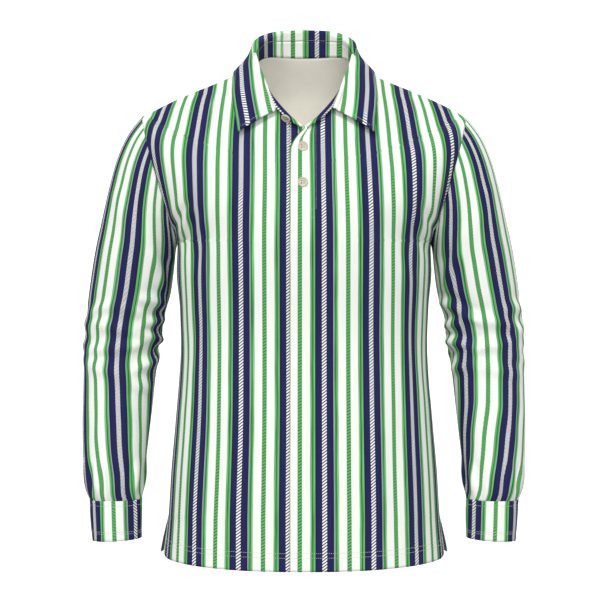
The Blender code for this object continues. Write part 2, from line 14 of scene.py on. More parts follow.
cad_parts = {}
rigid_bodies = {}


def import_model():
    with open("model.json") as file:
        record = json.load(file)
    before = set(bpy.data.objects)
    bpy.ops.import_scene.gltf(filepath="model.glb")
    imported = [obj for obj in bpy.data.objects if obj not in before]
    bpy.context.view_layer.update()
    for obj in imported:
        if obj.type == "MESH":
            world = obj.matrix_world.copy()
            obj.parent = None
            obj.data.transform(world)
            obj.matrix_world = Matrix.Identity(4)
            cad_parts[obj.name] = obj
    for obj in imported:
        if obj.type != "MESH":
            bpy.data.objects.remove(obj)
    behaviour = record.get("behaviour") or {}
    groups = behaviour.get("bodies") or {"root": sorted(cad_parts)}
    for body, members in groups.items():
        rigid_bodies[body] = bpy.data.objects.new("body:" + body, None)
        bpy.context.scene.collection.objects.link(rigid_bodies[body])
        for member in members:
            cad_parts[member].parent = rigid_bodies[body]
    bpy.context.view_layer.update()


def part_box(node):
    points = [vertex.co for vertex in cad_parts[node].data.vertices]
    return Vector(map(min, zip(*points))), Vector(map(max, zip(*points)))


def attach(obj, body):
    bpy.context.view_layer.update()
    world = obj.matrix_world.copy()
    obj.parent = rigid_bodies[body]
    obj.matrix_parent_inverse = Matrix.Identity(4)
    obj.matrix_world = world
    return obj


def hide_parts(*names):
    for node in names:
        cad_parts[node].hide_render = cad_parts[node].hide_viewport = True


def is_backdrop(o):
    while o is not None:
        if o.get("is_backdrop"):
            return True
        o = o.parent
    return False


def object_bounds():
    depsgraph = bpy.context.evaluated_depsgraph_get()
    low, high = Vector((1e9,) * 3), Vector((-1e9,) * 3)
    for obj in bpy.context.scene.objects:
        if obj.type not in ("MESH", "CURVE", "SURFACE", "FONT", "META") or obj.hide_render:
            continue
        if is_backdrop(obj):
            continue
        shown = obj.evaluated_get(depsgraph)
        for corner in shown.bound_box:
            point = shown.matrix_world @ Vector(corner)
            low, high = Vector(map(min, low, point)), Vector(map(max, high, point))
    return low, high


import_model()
MM = 0.001

# %% [markdown]
# ## Camera
# The photograph looks straight at the front, from about chest height and from far off, so a long
# lens stands level with the middle of the shirt.

# %% Camera
camera_data = bpy.data.cameras.new("camera")
camera_data.lens = 88.6
camera_data.sensor_width = 36.0
camera = bpy.data.objects.new("camera", camera_data)
camera.location = (-0.006, -2.2, -0.335)
camera.rotation_euler = (math.radians(90), 0, 0)
bpy.context.scene.collection.objects.link(camera)
bpy.context.scene.camera = camera
print("camera with a lens of", round(camera_data.lens, 1), "mm")

# %% [markdown]
# ## The cut of the shirt
# A tailor's block is a table of measurements, and so is this shirt. The tables are those that the
# CAD solids are made from, in millimetres: where each section of the body ends at the side, armhole
# or shoulder, how far its middle stands out, the rings of the sleeves, and the collar. Typing them
# again keeps the cloth where the solids are. Only the cuff's first ring, the neckline at the back
# and a few rows of the collar lie a little further along, where thin cloth has to meet thin cloth.

# %% Tables of the body
def table(header, *rows):
    """Columns by name, from a header and one row for each section."""
    names = header.split()
    return {name: np.array([row[i] for row in rows], float) for i, name in enumerate(names)}


SIDE = table(
    "station front_x back_x front_y back_y   z",
    (0.000,   207.0, 214.0, -13.0,   6.0, -711.0),
    (0.045,   205.0, 210.0,  -9.0,   5.0, -690.0),
    (0.090,   202.5, 205.0,  -5.0,   3.0, -669.0),
    (0.140,   200.0, 200.0,   0.0,   0.0, -646.0),
    (0.265,   196.5, 196.5,   0.0,   0.0, -588.0),
    (0.415,   190.5, 190.5,   0.0,   0.0, -519.0),
    (0.565,   185.0, 185.0,   0.0,   0.0, -450.0),
    (0.685,   182.0, 182.0,   0.0,   0.0, -395.0),
    (0.795,   184.0, 184.0,   0.0,   0.0, -345.0),
    (0.905,   188.6, 188.6,   0.0,   0.0, -293.0),
    (1.000,   186.5, 186.5,   0.0,   0.0, -249.0),
)
SHOULDER = table(
    "station    x      y      z",
    (2.0,   238.5,   0.0, -61.0),
    (2.25,  199.0,  -4.0, -41.5),
    (2.5,   161.0, -11.0, -26.0),
    (2.72,  127.0, -17.0, -13.5),
    (2.88,  101.0, -21.0,  -3.5),
    (3.0,    78.0, -22.0,   7.0),
)
MIDDLE = table(
    "station front_y front_z back_y back_z front_cut back_cut roundness front_rise back_rise",
    (0.000,  -140.0, -715.0, 131.0, -713.0, 0.998, 0.998, 2.35, 2.0, 2.0),
    (0.140,  -138.5, -647.0, 130.0, -647.0, 1.000, 1.000, 2.35, 2.0, 2.0),
    (0.415,  -134.0, -519.0, 122.0, -519.0, 1.000, 1.000, 2.30, 2.0, 2.0),
    (0.685,  -128.5, -395.0, 109.0, -395.0, 1.000, 1.000, 2.25, 2.0, 2.0),
    (0.905,  -137.0, -293.0, 119.0, -293.0, 1.000, 1.000, 2.30, 2.0, 2.0),
    (1.000,  -139.5, -252.0, 124.0, -249.0, 1.000, 1.000, 2.35, 2.0, 2.0),
    (1.330,  -136.0, -207.0, 128.0, -193.0, 0.985, 0.985, 2.35, 2.0, 2.0),
    (1.670,  -127.0, -170.0, 127.0, -137.0, 0.900, 0.930, 2.25, 2.0, 2.0),
    (2.000,  -117.0, -140.0, 121.0,  -88.0, 0.780, 0.860, 2.20, 2.0, 2.0),
    (2.500,  -106.0, -112.0, 103.0,  -28.0, 0.860, 0.960, 2.20, 1.9, 2.0),
    (3.000,   -97.0,  -87.0,  66.0,   35.5, 0.940, 1.000, 2.15, 1.4, 7.0),
)
CLOTH = 0.9                # the jersey's thickness
CLOTH_OUT = 0.5            # its outer face stands this far out from the middle of the CAD wall
CENTRE_SEAM_X = -20.5
ARMHOLE = {"top_z": -61.0, "bottom_z": -249.0, "half_depth": 66.0, "middle_x": 212.5,
           "lean": 26.0, "bow": 4.5}
PLACKET_BOTTOM_Z = -222.0
PLACKET_UNDER_X = (-26.0, 14.0)
PLACKET_ROLL = {"z": -123.0, "height": 31.0, "width": 19.5, "power": 1.6}
print("sections of the body:", len(MIDDLE["station"]), "with", len(SIDE["z"]), "side points")

# %% Tables of the sleeves and cuffs
SLEEVE = table(
    "ring outer_x outer_z inner_x inner_z centre_y half_depth",
    (0,   238.5,  -61.0, 186.5, -249.0,   0.0, 66.0),
    (1,   260.5,  -90.0, 189.5, -252.5,  -1.0, 66.0),
    (2,   277.0, -127.0, 191.0, -257.0,  -1.0, 66.0),
    (3,   289.5, -172.0, 192.0, -264.0,  -1.0, 65.5),
    (4,   300.0, -217.0, 193.0, -275.0,   0.0, 65.0),
    (6,   309.5, -260.0, 194.7, -292.0,   1.0, 63.5),
    (8,   317.0, -305.0, 199.5, -325.0,   3.0, 61.0),
    (10,  323.0, -350.0, 208.0, -355.0,   6.0, 58.0),
    (13,  327.5, -402.0, 215.5, -400.0,   8.0, 55.0),
    (16,  328.0, -454.0, 221.5, -445.0,   3.0, 52.0),
    (18,  328.0, -505.0, 226.5, -499.0,  -6.0, 48.0),
    (20,  325.5, -568.0, 233.0, -564.0, -17.0, 43.5),
    (22,  321.5, -605.0, 236.5, -603.0, -23.0, 41.0),
    (23,  318.5, -618.5, 238.5, -617.0, -25.0, 37.0),
    (24,  314.5, -628.5, 239.0, -627.5, -26.0, 32.0),
)
CUFF = table(
    "ring outer_x outer_z inner_x inner_z centre_y half_depth",
    (0,   314.5, -627.6, 239.0, -626.6, -26.0, 32.0),
    (1,   313.5, -643.0, 238.8, -641.5, -27.5, 31.5),
    (2,   311.5, -667.0, 239.0, -665.0, -29.5, 31.0),
    (3,   309.5, -687.0, 239.3, -683.0, -31.0, 30.5),
)
print("rings of the sleeve and cuff:", len(SLEEVE["ring"]), len(CUFF["ring"]))

# %% Tables of the collar
COLLAR = table(
    "along around fold_x fold_y fold_z edge_x edge_y edge_z",
    (0.00,  0.35,  38.0, -97.0, -63.0,  94.0,  -99.5, -95.5),
    (0.10,  0.42,  45.5, -90.0, -46.0,  97.5,  -91.0, -77.0),
    (0.20,  0.52,  52.5, -79.0, -28.5, 101.5,  -79.0, -57.0),
    (0.32,  0.68,  60.5, -62.0,  -8.0, 104.5,  -56.5, -30.0),
    (0.44,  0.88,  69.0, -38.0,  17.0, 104.5,  -27.5,  -3.0),
    (0.56,  1.06,  73.5, -10.0,  36.0,  97.5,    2.0,   9.0),
    (0.68,  1.26,  75.0,  16.0,  51.0,  88.0,   31.0,   9.0),
    (0.80,  1.52,  68.0,  41.0,  64.0,  73.0,   60.5,   7.0),
    (0.90,  1.76,  44.0,  58.0,  74.5,  44.0,   81.0,   5.0),
    (1.00,  2.00,   0.0,  64.5,  77.0,   0.0,   89.5,   4.0),
)
STAND = table(
    "around height turn_out",
    (0.00,  5.0, 130.0),
    (0.15,  9.0, 130.0),
    (0.35, 11.0, 122.0),
    (0.43,  9.0,  80.0),
    (0.52,  8.0,  30.0),
    (0.68, 10.0, -10.0),
    (0.88, 13.0, -18.0),
    (1.06, 17.0, -15.0),
    (1.50, 22.0, -11.0),
    (2.00, 26.0, -12.0),
)
LEFT_SPREAD = 6.0          # the wearer's left point lies this much further out
LEAF_FOLD_HALF = 2.6
NECK_AXIS_Y = -14.0
SEAM_STEP = 0.4            # how far the neckband's root stands off the neckline
print("sections of the fall and neckband:", len(COLLAR["along"]), len(STAND["around"]))

# %% [markdown]
# ## From tables to surfaces
# A smooth curve goes through each column of a table, and every section of the body is a rounded
# arch between its middle and its edge. Rows of points 3 to 4 mm apart are close enough for soft
# folds. The points of a section are spread evenly along it, so that the later mesh has even faces.

# %% Reading the tables
def follow(knots, values, at):
    """A smooth curve through the values that never swings past them, read at the given places."""
    knots, values, at = np.asarray(knots, float), np.asarray(values, float), np.asarray(at, float)
    span = np.diff(knots)
    slope = np.diff(values) / span
    same = slope[1:] * slope[:-1] > 0
    safe = np.where(same, slope[1:] + slope[:-1], 1.0)
    inner = np.where(same, 2.0 * slope[1:] * slope[:-1] / safe, 0.0)
    tangent = np.concatenate(([slope[0]], inner, [slope[-1]]))
    i = np.clip(np.searchsorted(knots, at, side="right") - 1, 0, len(span) - 1)
    u = np.clip((at - knots[i]) / span[i], 0.0, 1.0)
    return (
        values[i] * (2 * u**3 - 3 * u**2 + 1)
        + tangent[i] * span[i] * (u**3 - 2 * u**2 + u)
        + values[i + 1] * (3 * u**2 - 2 * u**3)
        + tangent[i + 1] * span[i] * (u**3 - u**2)
    )


def read(source, name, at, key="station"):
    """One column of a table, read smoothly at a place."""
    return follow(source[key], source[name], at)


def unit(vectors):
    """The same directions, each of length 1."""
    return vectors / np.maximum(np.linalg.norm(vectors, axis=-1, keepdims=True), 1e-9)

# %% Sections of the body
def armhole(angle):
    """A point of the left armhole's front half. Angle 0 is the armpit and pi the shoulder's end."""
    half_height = (ARMHOLE["top_z"] - ARMHOLE["bottom_z"]) / 2
    bow = ARMHOLE["bow"] * math.sin(angle) * (1 - math.cos(angle)) / 2
    return np.array((
        ARMHOLE["middle_x"] - ARMHOLE["lean"] * math.cos(angle) + bow,
        -ARMHOLE["half_depth"] * math.sin(angle),
        ARMHOLE["bottom_z"] + half_height * (1 - math.cos(angle)),
    ))


def panel_edge(panel, station):
    """Where a section of the front or back ends, on the wearer's left."""
    if station <= 1:
        columns = ((SIDE, panel + "_x"), (SIDE, panel + "_y"), (SIDE, "z"))
        return np.array([float(read(source, name, station)) for source, name in columns])
    if station <= 2:
        point = armhole(math.pi * (station - 1))
        return point if panel == "front" else point * (1, -1, 1)
    return np.array([float(read(SHOULDER, axis, station)) for axis in "xyz"])


def section_turn(panel, station):
    """A section's cut and roundness, and how far its arch turns from its middle to its edge."""
    cut = float(read(MIDDLE, panel + "_cut", station))
    roundness = float(read(MIDDLE, "roundness", station))
    return cut, roundness, math.asin(min(1.0, cut ** (roundness / 2)))


def torso(panel, station, shares):
    """Points of one section, at shares from -1, the right edge, over 0 to 1, the left edge."""
    shares = np.asarray(shares, float)
    edge = panel_edge(panel, station)
    middle_y = float(read(MIDDLE, panel + "_y", station))
    middle_z = float(read(MIDDLE, panel + "_z", station))
    cut, roundness, turn = section_turn(panel, station)
    angle = np.abs(shares) * turn
    across = np.sin(angle) ** (2 / roundness) / cut
    full = 1 - max(0.0, math.cos(turn)) ** (2 / roundness)
    back = (1 - np.clip(np.cos(angle), 0, None) ** (2 / roundness)) / full
    rise = float(read(MIDDLE, panel + "_rise", station))
    return np.stack((
        np.sign(shares) * edge[0] * across,
        middle_y + (edge[1] - middle_y) * back,
        middle_z + (edge[2] - middle_z) * across**rise,
    ), axis=-1)


def share_at(station, x):
    """The share of a front section that lies at a given x."""
    edge_x = panel_edge("front", station)[0]
    cut, roundness, turn = section_turn("front", station)
    angle = math.asin(min(1.0, (abs(x) / edge_x * cut) ** (roundness / 2)))
    return math.copysign(angle / turn, x)


def free_edge_x(station):
    """The x of the top layer's edge: straight on the seam, rolling away towards the neck."""
    z = float(read(MIDDLE, "front_z", station))
    rise = min(1.0, max(0.0, (z - PLACKET_ROLL["z"]) / PLACKET_ROLL["height"]))
    return CENTRE_SEAM_X + PLACKET_ROLL["width"] * rise ** PLACKET_ROLL["power"]

# %% Even grids of points
SIDE_ROWS, ARMHOLE_ROWS, SHOULDER_ROWS = 120, 50, 42
STATIONS = np.concatenate((
    np.linspace(0, 1, SIDE_ROWS + 1),
    np.linspace(1, 2, ARMHOLE_ROWS + 1)[1:],
    np.linspace(2, 3, SHOULDER_ROWS + 1)[1:],
))
ARMHOLE_SPAN = slice(SIDE_ROWS, SIDE_ROWS + ARMHOLE_ROWS + 1)


def lengths(points, axis):
    """The length along a grid's rows or columns, from the first point."""
    steps = np.linalg.norm(np.diff(points, axis=axis), axis=-1)
    pad = [(0, 0), (0, 0)]
    pad[axis] = (1, 0)
    return np.cumsum(np.pad(steps, pad), axis=axis)


def walk(line):
    """The length along a line of points, from its first."""
    return np.concatenate(([0], np.cumsum(np.linalg.norm(np.diff(line, axis=0), axis=-1))))


def points_at(at, known, line):
    """Points of a line, read at places in the measure that is known for each of its own."""
    return np.stack([np.interp(at, known, line[:, k]) for k in range(3)], axis=-1)


def spread(line, count):
    """The same line with its points spread evenly along it."""
    walked = walk(line)
    return points_at(np.linspace(0, walked[-1], count + 1), walked, line)


def panel_grid(panel, columns, first, last):
    """Even rows of a panel between two shares, given as functions of the station."""
    return np.array([
        spread(torso(panel, s, np.linspace(first(s), last(s), 361)), columns) for s in STATIONS
    ])


def normals(points, closed=False):
    """Directions square to a grid of points, by the differences of neighbours."""
    down = np.gradient(points, axis=0)
    if closed:
        over = np.roll(points, 1, axis=1) - np.roll(points, -1, axis=1)
    else:
        over = np.gradient(points, axis=1)
    return unit(np.cross(over, down))


def outward(name, points):
    """Directions out of a panel. The back's grid runs the other way round."""
    return normals(points) * (-1 if name == "back" else 1)

# %% The three panels
body = {
    "front_left": panel_grid("front", 78, lambda s: share_at(s, free_edge_x(s)), lambda s: 1.0),
    "front_right": panel_grid("front", 70, lambda s: -1.0, lambda s: share_at(s, CENTRE_SEAM_X)),
    "back": panel_grid("back", 136, lambda s: -1.0, lambda s: 1.0),
}
body_out = {name: outward(name, points) for name, points in body.items()}
unfolded = {name: points.copy() for name, points in body.items()}
for name, points in body.items():
    spacing = round(float(lengths(points, 1)[100, 1]), 2)
    print(name, "grid", points.shape[:2], "spacing", spacing, "mm")

# %% [markdown]
# ## Folds of the body
# Hanging cloth folds where it is held: under the arms, over the chest and above the hem. Each main
# fold is given as a soft trough with a lower ridge along one side, from its middle, tilt, length,
# width and depth. That is closer to a given shirt than a simulation, which would settle into
# folds of its own.

# %% A fold
# The ridge beside each trough: its height as a share of the depth, and its place and width in widths
RIDGE = {"height": 0.42, "away": 1.9, "width": 1.2}
FOLD_ENDS = 1.5            # the power by which a fold runs out at its ends


def bell(away, width):
    """A soft bump: 1 in its middle, and next to nothing at twice its width."""
    return np.exp(-((away / width) ** 2))


def press(folds, over, up):
    """How far the cloth is pressed in by a table of folds, at places given across and up."""
    depth = np.zeros(np.shape(over))
    for i in range(len(folds["depth"])):
        tilt = math.radians(folds["tilt"][i])
        away_x, away_y = over - folds["over"][i], up - folds["up"][i]
        along = away_x * math.cos(tilt) + away_y * math.sin(tilt)
        aside = away_y * math.cos(tilt) - away_x * math.sin(tilt)
        aside = aside + folds["bend"][i] * (along / folds["length"][i]) ** 2
        width = folds["width"][i]
        window = np.clip(1 - (along / folds["length"][i]) ** 2, 0, 1) ** FOLD_ENDS
        ridge = RIDGE["height"] * bell(aside - RIDGE["away"] * width, RIDGE["width"] * width)
        depth += folds["depth"][i] * window * (bell(aside, width) - ridge)
    return depth

# %% Where the body's folds lie
# over is x (wearer's left is +), up is z
FRONT_FOLDS = table(
    "over   up     tilt  length width bend depth",
    (-176, -214,   62,   34,   6.5,   6,  3.4),
    (-163, -236,   70,   40,   7.5,   8,  3.0),
    (-150, -262,   76,   44,   9.0,   6,  2.2),
    (172,  -212,  -64,   34,   6.5,  -6,  3.2),
    (160,  -238,  -72,   40,   8.0,  -8,  2.8),
    (147,  -268,  -78,   46,   9.0,  -6,  2.0),
    (-132, -128,   35,   46,  12.0,   8,  1.3),
    (128,  -132,  -35,   44,  12.0,  -8,  1.3),
    (-96,  -330,   84,   90,  15.0,   4,  1.2),
    (92,   -350,  -84,   96,  16.0,  -4,  1.2),
    (-168, -420,   80,   80,  13.0,   8,  1.8),
    (166,  -410,  -80,   84,  13.0,  -8,  1.8),
    (-120, -600,   92,  120,  17.0,   6,  1.9),
    (-58,  -636,   88,  100,  15.0,   4,  1.5),
    (8,    -640,   90,   90,  16.0,   0,  1.3),
    (66,   -628,   91,  104,  15.0,  -4,  1.7),
    (128,  -604,   87,  120,  17.0,  -6,  1.9),
    (-26,  -480,   88,   70,  14.0,   0,  0.8),
    (40,   -240,   82,   60,  16.0,   0,  0.8),
)
BACK_FOLDS = table(
    "over   up     tilt  length width bend depth",
    (-170, -206,   60,   40,   7.0,   6,  3.4),
    (-154, -236,   68,   46,   8.0,   8,  2.8),
    (170,  -208,  -60,   40,   7.0,  -6,  3.4),
    (152,  -240,  -66,   46,   8.0,  -8,  2.8),
    (-90,  -190,   50,   60,  12.0,  10,  1.8),
    (88,   -186,  -50,   60,  12.0, -10,  1.8),
    (-60,  -370,   12,   60,  10.0,   8,  2.2),
    (52,   -392,   -8,   64,  10.0,  -8,  2.4),
    (-20,  -418,    6,   56,  10.0,   6,  2.0),
    (-150, -360,   20,   50,   9.0,   8,  2.2),
    (150,  -372,  -22,   50,   9.0,  -8,  2.2),
    (-126, -560,   86,  130,  18.0,   8,  2.6),
    (-70,  -600,   92,  110,  17.0,   4,  2.0),
    (-6,   -590,   89,  130,  18.0,   0,  2.4),
    (62,   -606,   88,  110,  16.0,  -4,  2.0),
    (124,  -566,   94,  130,  18.0,  -8,  2.6),
)
print("folds on front and back:", len(FRONT_FOLDS["depth"]), len(BACK_FOLDS["depth"]))

# %% Dents along the seams, and the hem's corners
HEM_CORNER = {"radius": 9.0, "lift": 0.7, "fades_in": 31.5}
VENT_TOP_Z = -646.0
HEM_DENTS = (21.5, 26.5)   # heights of the two dents along the hem's stitching
NO_SEAM = 99.0             # so far off that no dent reaches


def seam_dip(distance, along, depth=0.8, width=2.4):
    """The dent along a seam, puckered a little by its thread."""
    pucker = 1 + 0.35 * np.sin(along / 2.1) * np.sin(along / 7.3 + 1.0)
    return depth * pucker * bell(distance, width)


def round_hem(points, edge_x):
    """Lifts the cloth near the hem's corner, so that the corner is a quarter round."""
    in_from_edge = np.abs(edge_x) - np.abs(points[0, :, 0])
    reach = np.clip(1 - in_from_edge / HEM_CORNER["radius"], 0, 1)
    lift = HEM_CORNER["radius"] * (1 - np.sqrt(1 - reach**2)) * HEM_CORNER["lift"]
    height = points[:, :, 2] - points[:1, :, 2]
    points[:, :, 2] += lift * np.clip(1 - height / HEM_CORNER["fades_in"], 0, 1)


outer_edge = {"front_left": -1, "front_right": 0}
for name, column in outer_edge.items():
    round_hem(body[name], body[name][0, column, 0])

# %% Press the folds and seams in
for name, points in body.items():
    folds = BACK_FOLDS if name == "back" else FRONT_FOLDS
    across, up = lengths(points, 1), lengths(points, 0)
    far = across[:, -1:] - across
    depth = press(folds, points[:, :, 0], points[:, :, 2])
    if name == "front_left":
        to_centre, to_side = np.where(points[:, :, 2] < PLACKET_BOTTOM_Z, across, NO_SEAM), far
    elif name == "front_right":
        to_centre, to_side = far, across
    else:
        to_centre, to_side = np.full_like(across, NO_SEAM), np.minimum(across, far)
    depth += seam_dip(to_centre, up, 0.7, 2.0)
    depth += np.where(points[:, :, 2] < VENT_TOP_Z, 0.0, seam_dip(to_side, up, 0.9))
    stitch_dents = sum(bell(up - height, 1.3) for height in HEM_DENTS)
    depth += 0.28 * stitch_dents * (1 + 0.3 * np.sin(across / 3.4))
    depth += 0.25 * np.sin(across / 5.2 + 0.8 * np.sin(across / 31)) * bell(up - 12, 9)
    body[name] = points - body_out[name] * depth[..., None]
    body_out[name] = outward(name, body[name])
    print(name, "pressed in by at most", round(float(depth.max()), 1), "mm")

# %% Shared edges of the panels
for name, column, back_column in (("front_left", -1, -1), ("front_right", 0, 0)):
    shared = unit(body_out[name][:, column] + body_out["back"][:, back_column])
    level = (body[name][:, column] + body["back"][:, back_column]) / 2
    joined = STATIONS >= SIDE["station"][3]     # the vent's top
    joined[ARMHOLE_SPAN] = False
    joined[SIDE_ROWS] = joined[SIDE_ROWS + ARMHOLE_ROWS] = True
    for grid, edge in ((name, column), ("back", back_column)):
        body_out[grid][joined, edge] = shared[joined]
        body[grid][joined, edge] = level[joined]
    print(name, "joined to the back at", int(joined.sum()), "of", len(STATIONS), "rows")

# %% [markdown]
# ## Sleeves and cuffs
# A sleeve is a tube of rings between an outer and an inner line. Its first ring is the armhole
# itself, point for point, so the cloth meets the body without a gap. The elbow has the deepest
# folds, because the arm is a little bent there, and the last few centimetres are gathered into the
# cuff.

# %% Rings of a tube
RING_COLUMNS = 2 * ARMHOLE_ROWS
ANGLES = np.linspace(0, 2 * math.pi, RING_COLUMNS + 1)


def ring_points(source, at):
    """Rings between two lines. Column 0 is the inner line, and the front comes first."""
    value = {name: read(source, name, at, "ring")[:, None] for name in source if name != "ring"}
    swing = (1 - np.cos(ANGLES))[None, :] / 2
    return np.stack((
        value["inner_x"] + (value["outer_x"] - value["inner_x"]) * swing,
        value["centre_y"] - value["half_depth"] * np.sin(ANGLES)[None, :],
        value["inner_z"] + (value["outer_z"] - value["inner_z"]) * swing,
    ), axis=-1)


def even_rings(source, count):
    """Ring numbers spread evenly along the middle of a tube."""
    dense = np.linspace(source["ring"][0], source["ring"][-1], 600)
    walked = walk(ring_points(source, dense)[:, RING_COLUMNS // 4])
    return np.interp(np.linspace(0, walked[-1], count + 1), walked, dense)


def tube_out(points):
    """Directions out of a tube, whose last column lies on its first."""
    out = normals(points[:, :-1], closed=True)
    return np.concatenate((out, out[:, :1]), axis=1)

# %% Where the sleeves' folds lie
# over is the angle about the sleeve: 0 the inner line, 90 the front, 180 the outer line and 270 the
# back. On a sleeve the folds stand out by their depth, and one with a minus depth is a trough.
SLEEVE_FOLDS = {
    -1: table(
        "over   up     tilt  length width bend depth",
        (38,  -338,   12,   50,   7.5,   8,  4.2),
        (30,  -366,   -8,   44,   7.0,   6,  5.0),
        (24,  -392,   10,   46,   7.0,  -6,  5.4),
        (8,   -409,    0,   22,   8.0,   0, -4.5),
        (32,  -428,  -12,   44,   8.0,   8,  4.8),
        (50,  -462,    8,   38,   9.0,  -6,  3.0),
        (70,  -352,   28,   34,   6.5,   8,  2.4),
        (66,  -404,  -20,   34,   6.5,  -6,  2.6),
        (168, -402,   -6,   32,   8.0,   6,  2.6),
        (160, -372,   16,   36,   8.0,   8,  2.2),
        (40,  -300,   60,   52,   9.0,   8,  4.0),
        (62,  -262,   68,   46,   9.0,   8,  3.4),
        (96,  -232,   58,   48,  11.0,  10,  1.8),
        (120, -196,   52,   46,  12.0,  10,  1.4),
        (60,  -510,   64,   50,   9.0,   6,  1.8),
        (110, -520,  -70,   52,  10.0,   6,  1.6),
        (315, -384,   10,   48,   8.5,   8,  4.2),
        (325, -418,   -8,   46,   8.5,  -8,  4.6),
        (300, -350,   22,   44,   8.5,   8,  3.4),
        (300, -270,  -60,   52,  10.0,   8,  3.6),
        (280, -230,  -66,   46,  10.0,   8,  2.6),
        (250, -500,   66,   56,  11.0,   6,  2.0),
        (100, -376,   14,   60,   8.0,   6,  3.2),
        (108, -407,   -8,   64,   8.5,  -6,  3.4),
        (100, -440,   10,   56,   9.0,   6,  2.6),
        (132, -350,  -16,   50,   8.0,   6,  2.2),
        (142, -426,   12,   48,   9.0,   6,  2.2),
    ),
    1: table(
        "over   up     tilt  length width bend depth",
        (34,  -344,  -14,   48,   7.5,   8,  4.6),
        (26,  -372,   10,   46,   7.0,  -6,  5.0),
        (30,  -398,   -6,   48,   7.0,   6,  5.4),
        (10,  -412,    0,   22,   8.0,   0, -4.0),
        (36,  -434,   14,   42,   8.0,  -8,  4.8),
        (64,  -360,  -24,   36,   6.5,   8,  2.6),
        (60,  -414,   22,   36,   6.5,  -6,  2.6),
        (160, -376,   16,   42,   8.5,   8,  3.6),
        (164, -352,  -12,   36,   8.0,   6,  2.8),
        (150, -404,   20,   36,   8.0,  -8,  2.2),
        (44,  -296,   58,   52,   9.0,   8,  4.0),
        (66,  -258,   66,   44,   9.0,   8,  3.2),
        (92,  -230,   60,   46,  11.0,  10,  2.0),
        (118, -190,   54,   48,  12.0,  10,  1.6),
        (64,  -500,   66,   50,   9.0,   6,  1.8),
        (112, -516,  -66,   52,  10.0,   6,  1.6),
        (318, -380,   -8,   48,   8.5,   8,  4.4),
        (322, -420,   12,   44,   8.5,  -8,  4.2),
        (302, -346,  -20,   44,   8.5,   8,  3.4),
        (302, -268,  -60,   52,  10.0,   8,  3.6),
        (278, -228,  -66,   46,  10.0,   8,  2.6),
        (252, -504,   66,   56,  11.0,   6,  2.0),
        (104, -368,  -12,   60,   8.0,   6,  3.2),
        (110, -400,    9,   64,   8.5,  -6,  3.4),
        (98,  -437,  -10,   56,   9.0,   6,  2.6),
        (134, -346,   15,   50,   8.0,   6,  2.2),
        (140, -420,  -12,   48,   9.0,   6,  2.2),
    ),
}
GATHERS = {"top_z": -566.0, "bottom_z": -628.0, "height": 2.5}
print("folds on each sleeve:", [len(folds["depth"]) for folds in SLEEVE_FOLDS.values()])

# %% Fold and gather a sleeve
SLEEVE_ROWS, CUFF_ROWS = 146, 16
ARMHOLE_FADES_BY = 4.0     # the ring by which a sleeve has left the armhole's exact shape
FOLDS_START_BY = 0.4       # the ring by which its folds are full


def sleeve_folds(side, points):
    """How far each point of a sleeve stands out with its folds and with the gathers at the cuff."""
    girth = lengths(points, 1)[:, -1:]
    turn = np.degrees(ANGLES)[None, :]
    depth = np.zeros(points.shape[:2])
    folds = SLEEVE_FOLDS[side]
    for i in range(len(folds["depth"])):
        one = {name: folds[name][i:i + 1] for name in folds}
        away = (turn - one["over"][0] + 180) % 360 - 180
        one["over"] = np.zeros(1)
        depth += press(one, away / 360 * girth, points[:, :, 2])
    height = points[:, :, 2].mean(axis=1, keepdims=True)
    full = GATHERS["top_z"] - GATHERS["bottom_z"]
    near_cuff = np.clip((GATHERS["top_z"] - height) / full, 0, 1)
    turn = np.radians(turn)
    waves = np.cos(turn * 9 + 0.7 * np.sin(turn * 3))
    waves = waves + 0.5 * np.cos(turn * 15 + 1.3 * np.sin(turn * 2) + 1)
    return depth + GATHERS["height"] * np.sin(near_cuff * math.pi) ** 1.3 * waves


def sleeve(side, edge, edge_out):
    """A sleeve from an armhole's edge: its plain rings, folded rings, directions and ring numbers."""
    rings = even_rings(SLEEVE, SLEEVE_ROWS)
    points = ring_points(SLEEVE, rings)
    fade = np.clip(1 - rings / ARMHOLE_FADES_BY, 0, 1)[:, None, None]
    plain = points + (edge - points[0])[None] * fade
    start = np.clip(rings / FOLDS_START_BY, 0, 1)[:, None]
    around, down = lengths(plain, 1), lengths(plain, 0)
    dip = seam_dip(down, around, 0.8, 2.6) * start
    dip += seam_dip(np.minimum(around, around[:, -1:] - around), down, 0.7, 2.0)
    points = plain + tube_out(plain) * (sleeve_folds(side, plain) * start - dip)[..., None]
    points[:, -1] = points[:, 0]
    out = tube_out(points)
    out[0] = edge_out
    out[0, -1] = edge_out[0]
    return plain, points, out, rings

# %% Both sleeves
SIDES = {"right": -1, "left": 1}
sleeves = {}
for word, side in SIDES.items():
    front, flip = "front_" + word, (side, 1, 1)
    loops = []
    for grids in (body, body_out):
        up = grids[front][ARMHOLE_SPAN, outer_edge[front]]
        down = grids["back"][ARMHOLE_SPAN, outer_edge[front]][::-1]
        loops.append(np.concatenate((up, down[1:])) * flip)
    sleeves[word] = sleeve(side, *loops)
    print("sleeve", word, "length in mm", round(float(lengths(sleeves[word][1], 0)[-1, 25])))

# %% [markdown]
# ## Where the stripes lie
# The cloth is a yarn-dyed stripe, 68.5 mm to the repeat, so what matters is how far each point of a
# piece is from the middle of a stripe in the flat cut. On the body that is the length along a level
# section. It becomes the first number of a UV map of the piece's own, in metres, and the length
# down the cloth the second. A UV map turns and bends with the cloth, which a pattern on object
# coordinates couldn't do at the folds.

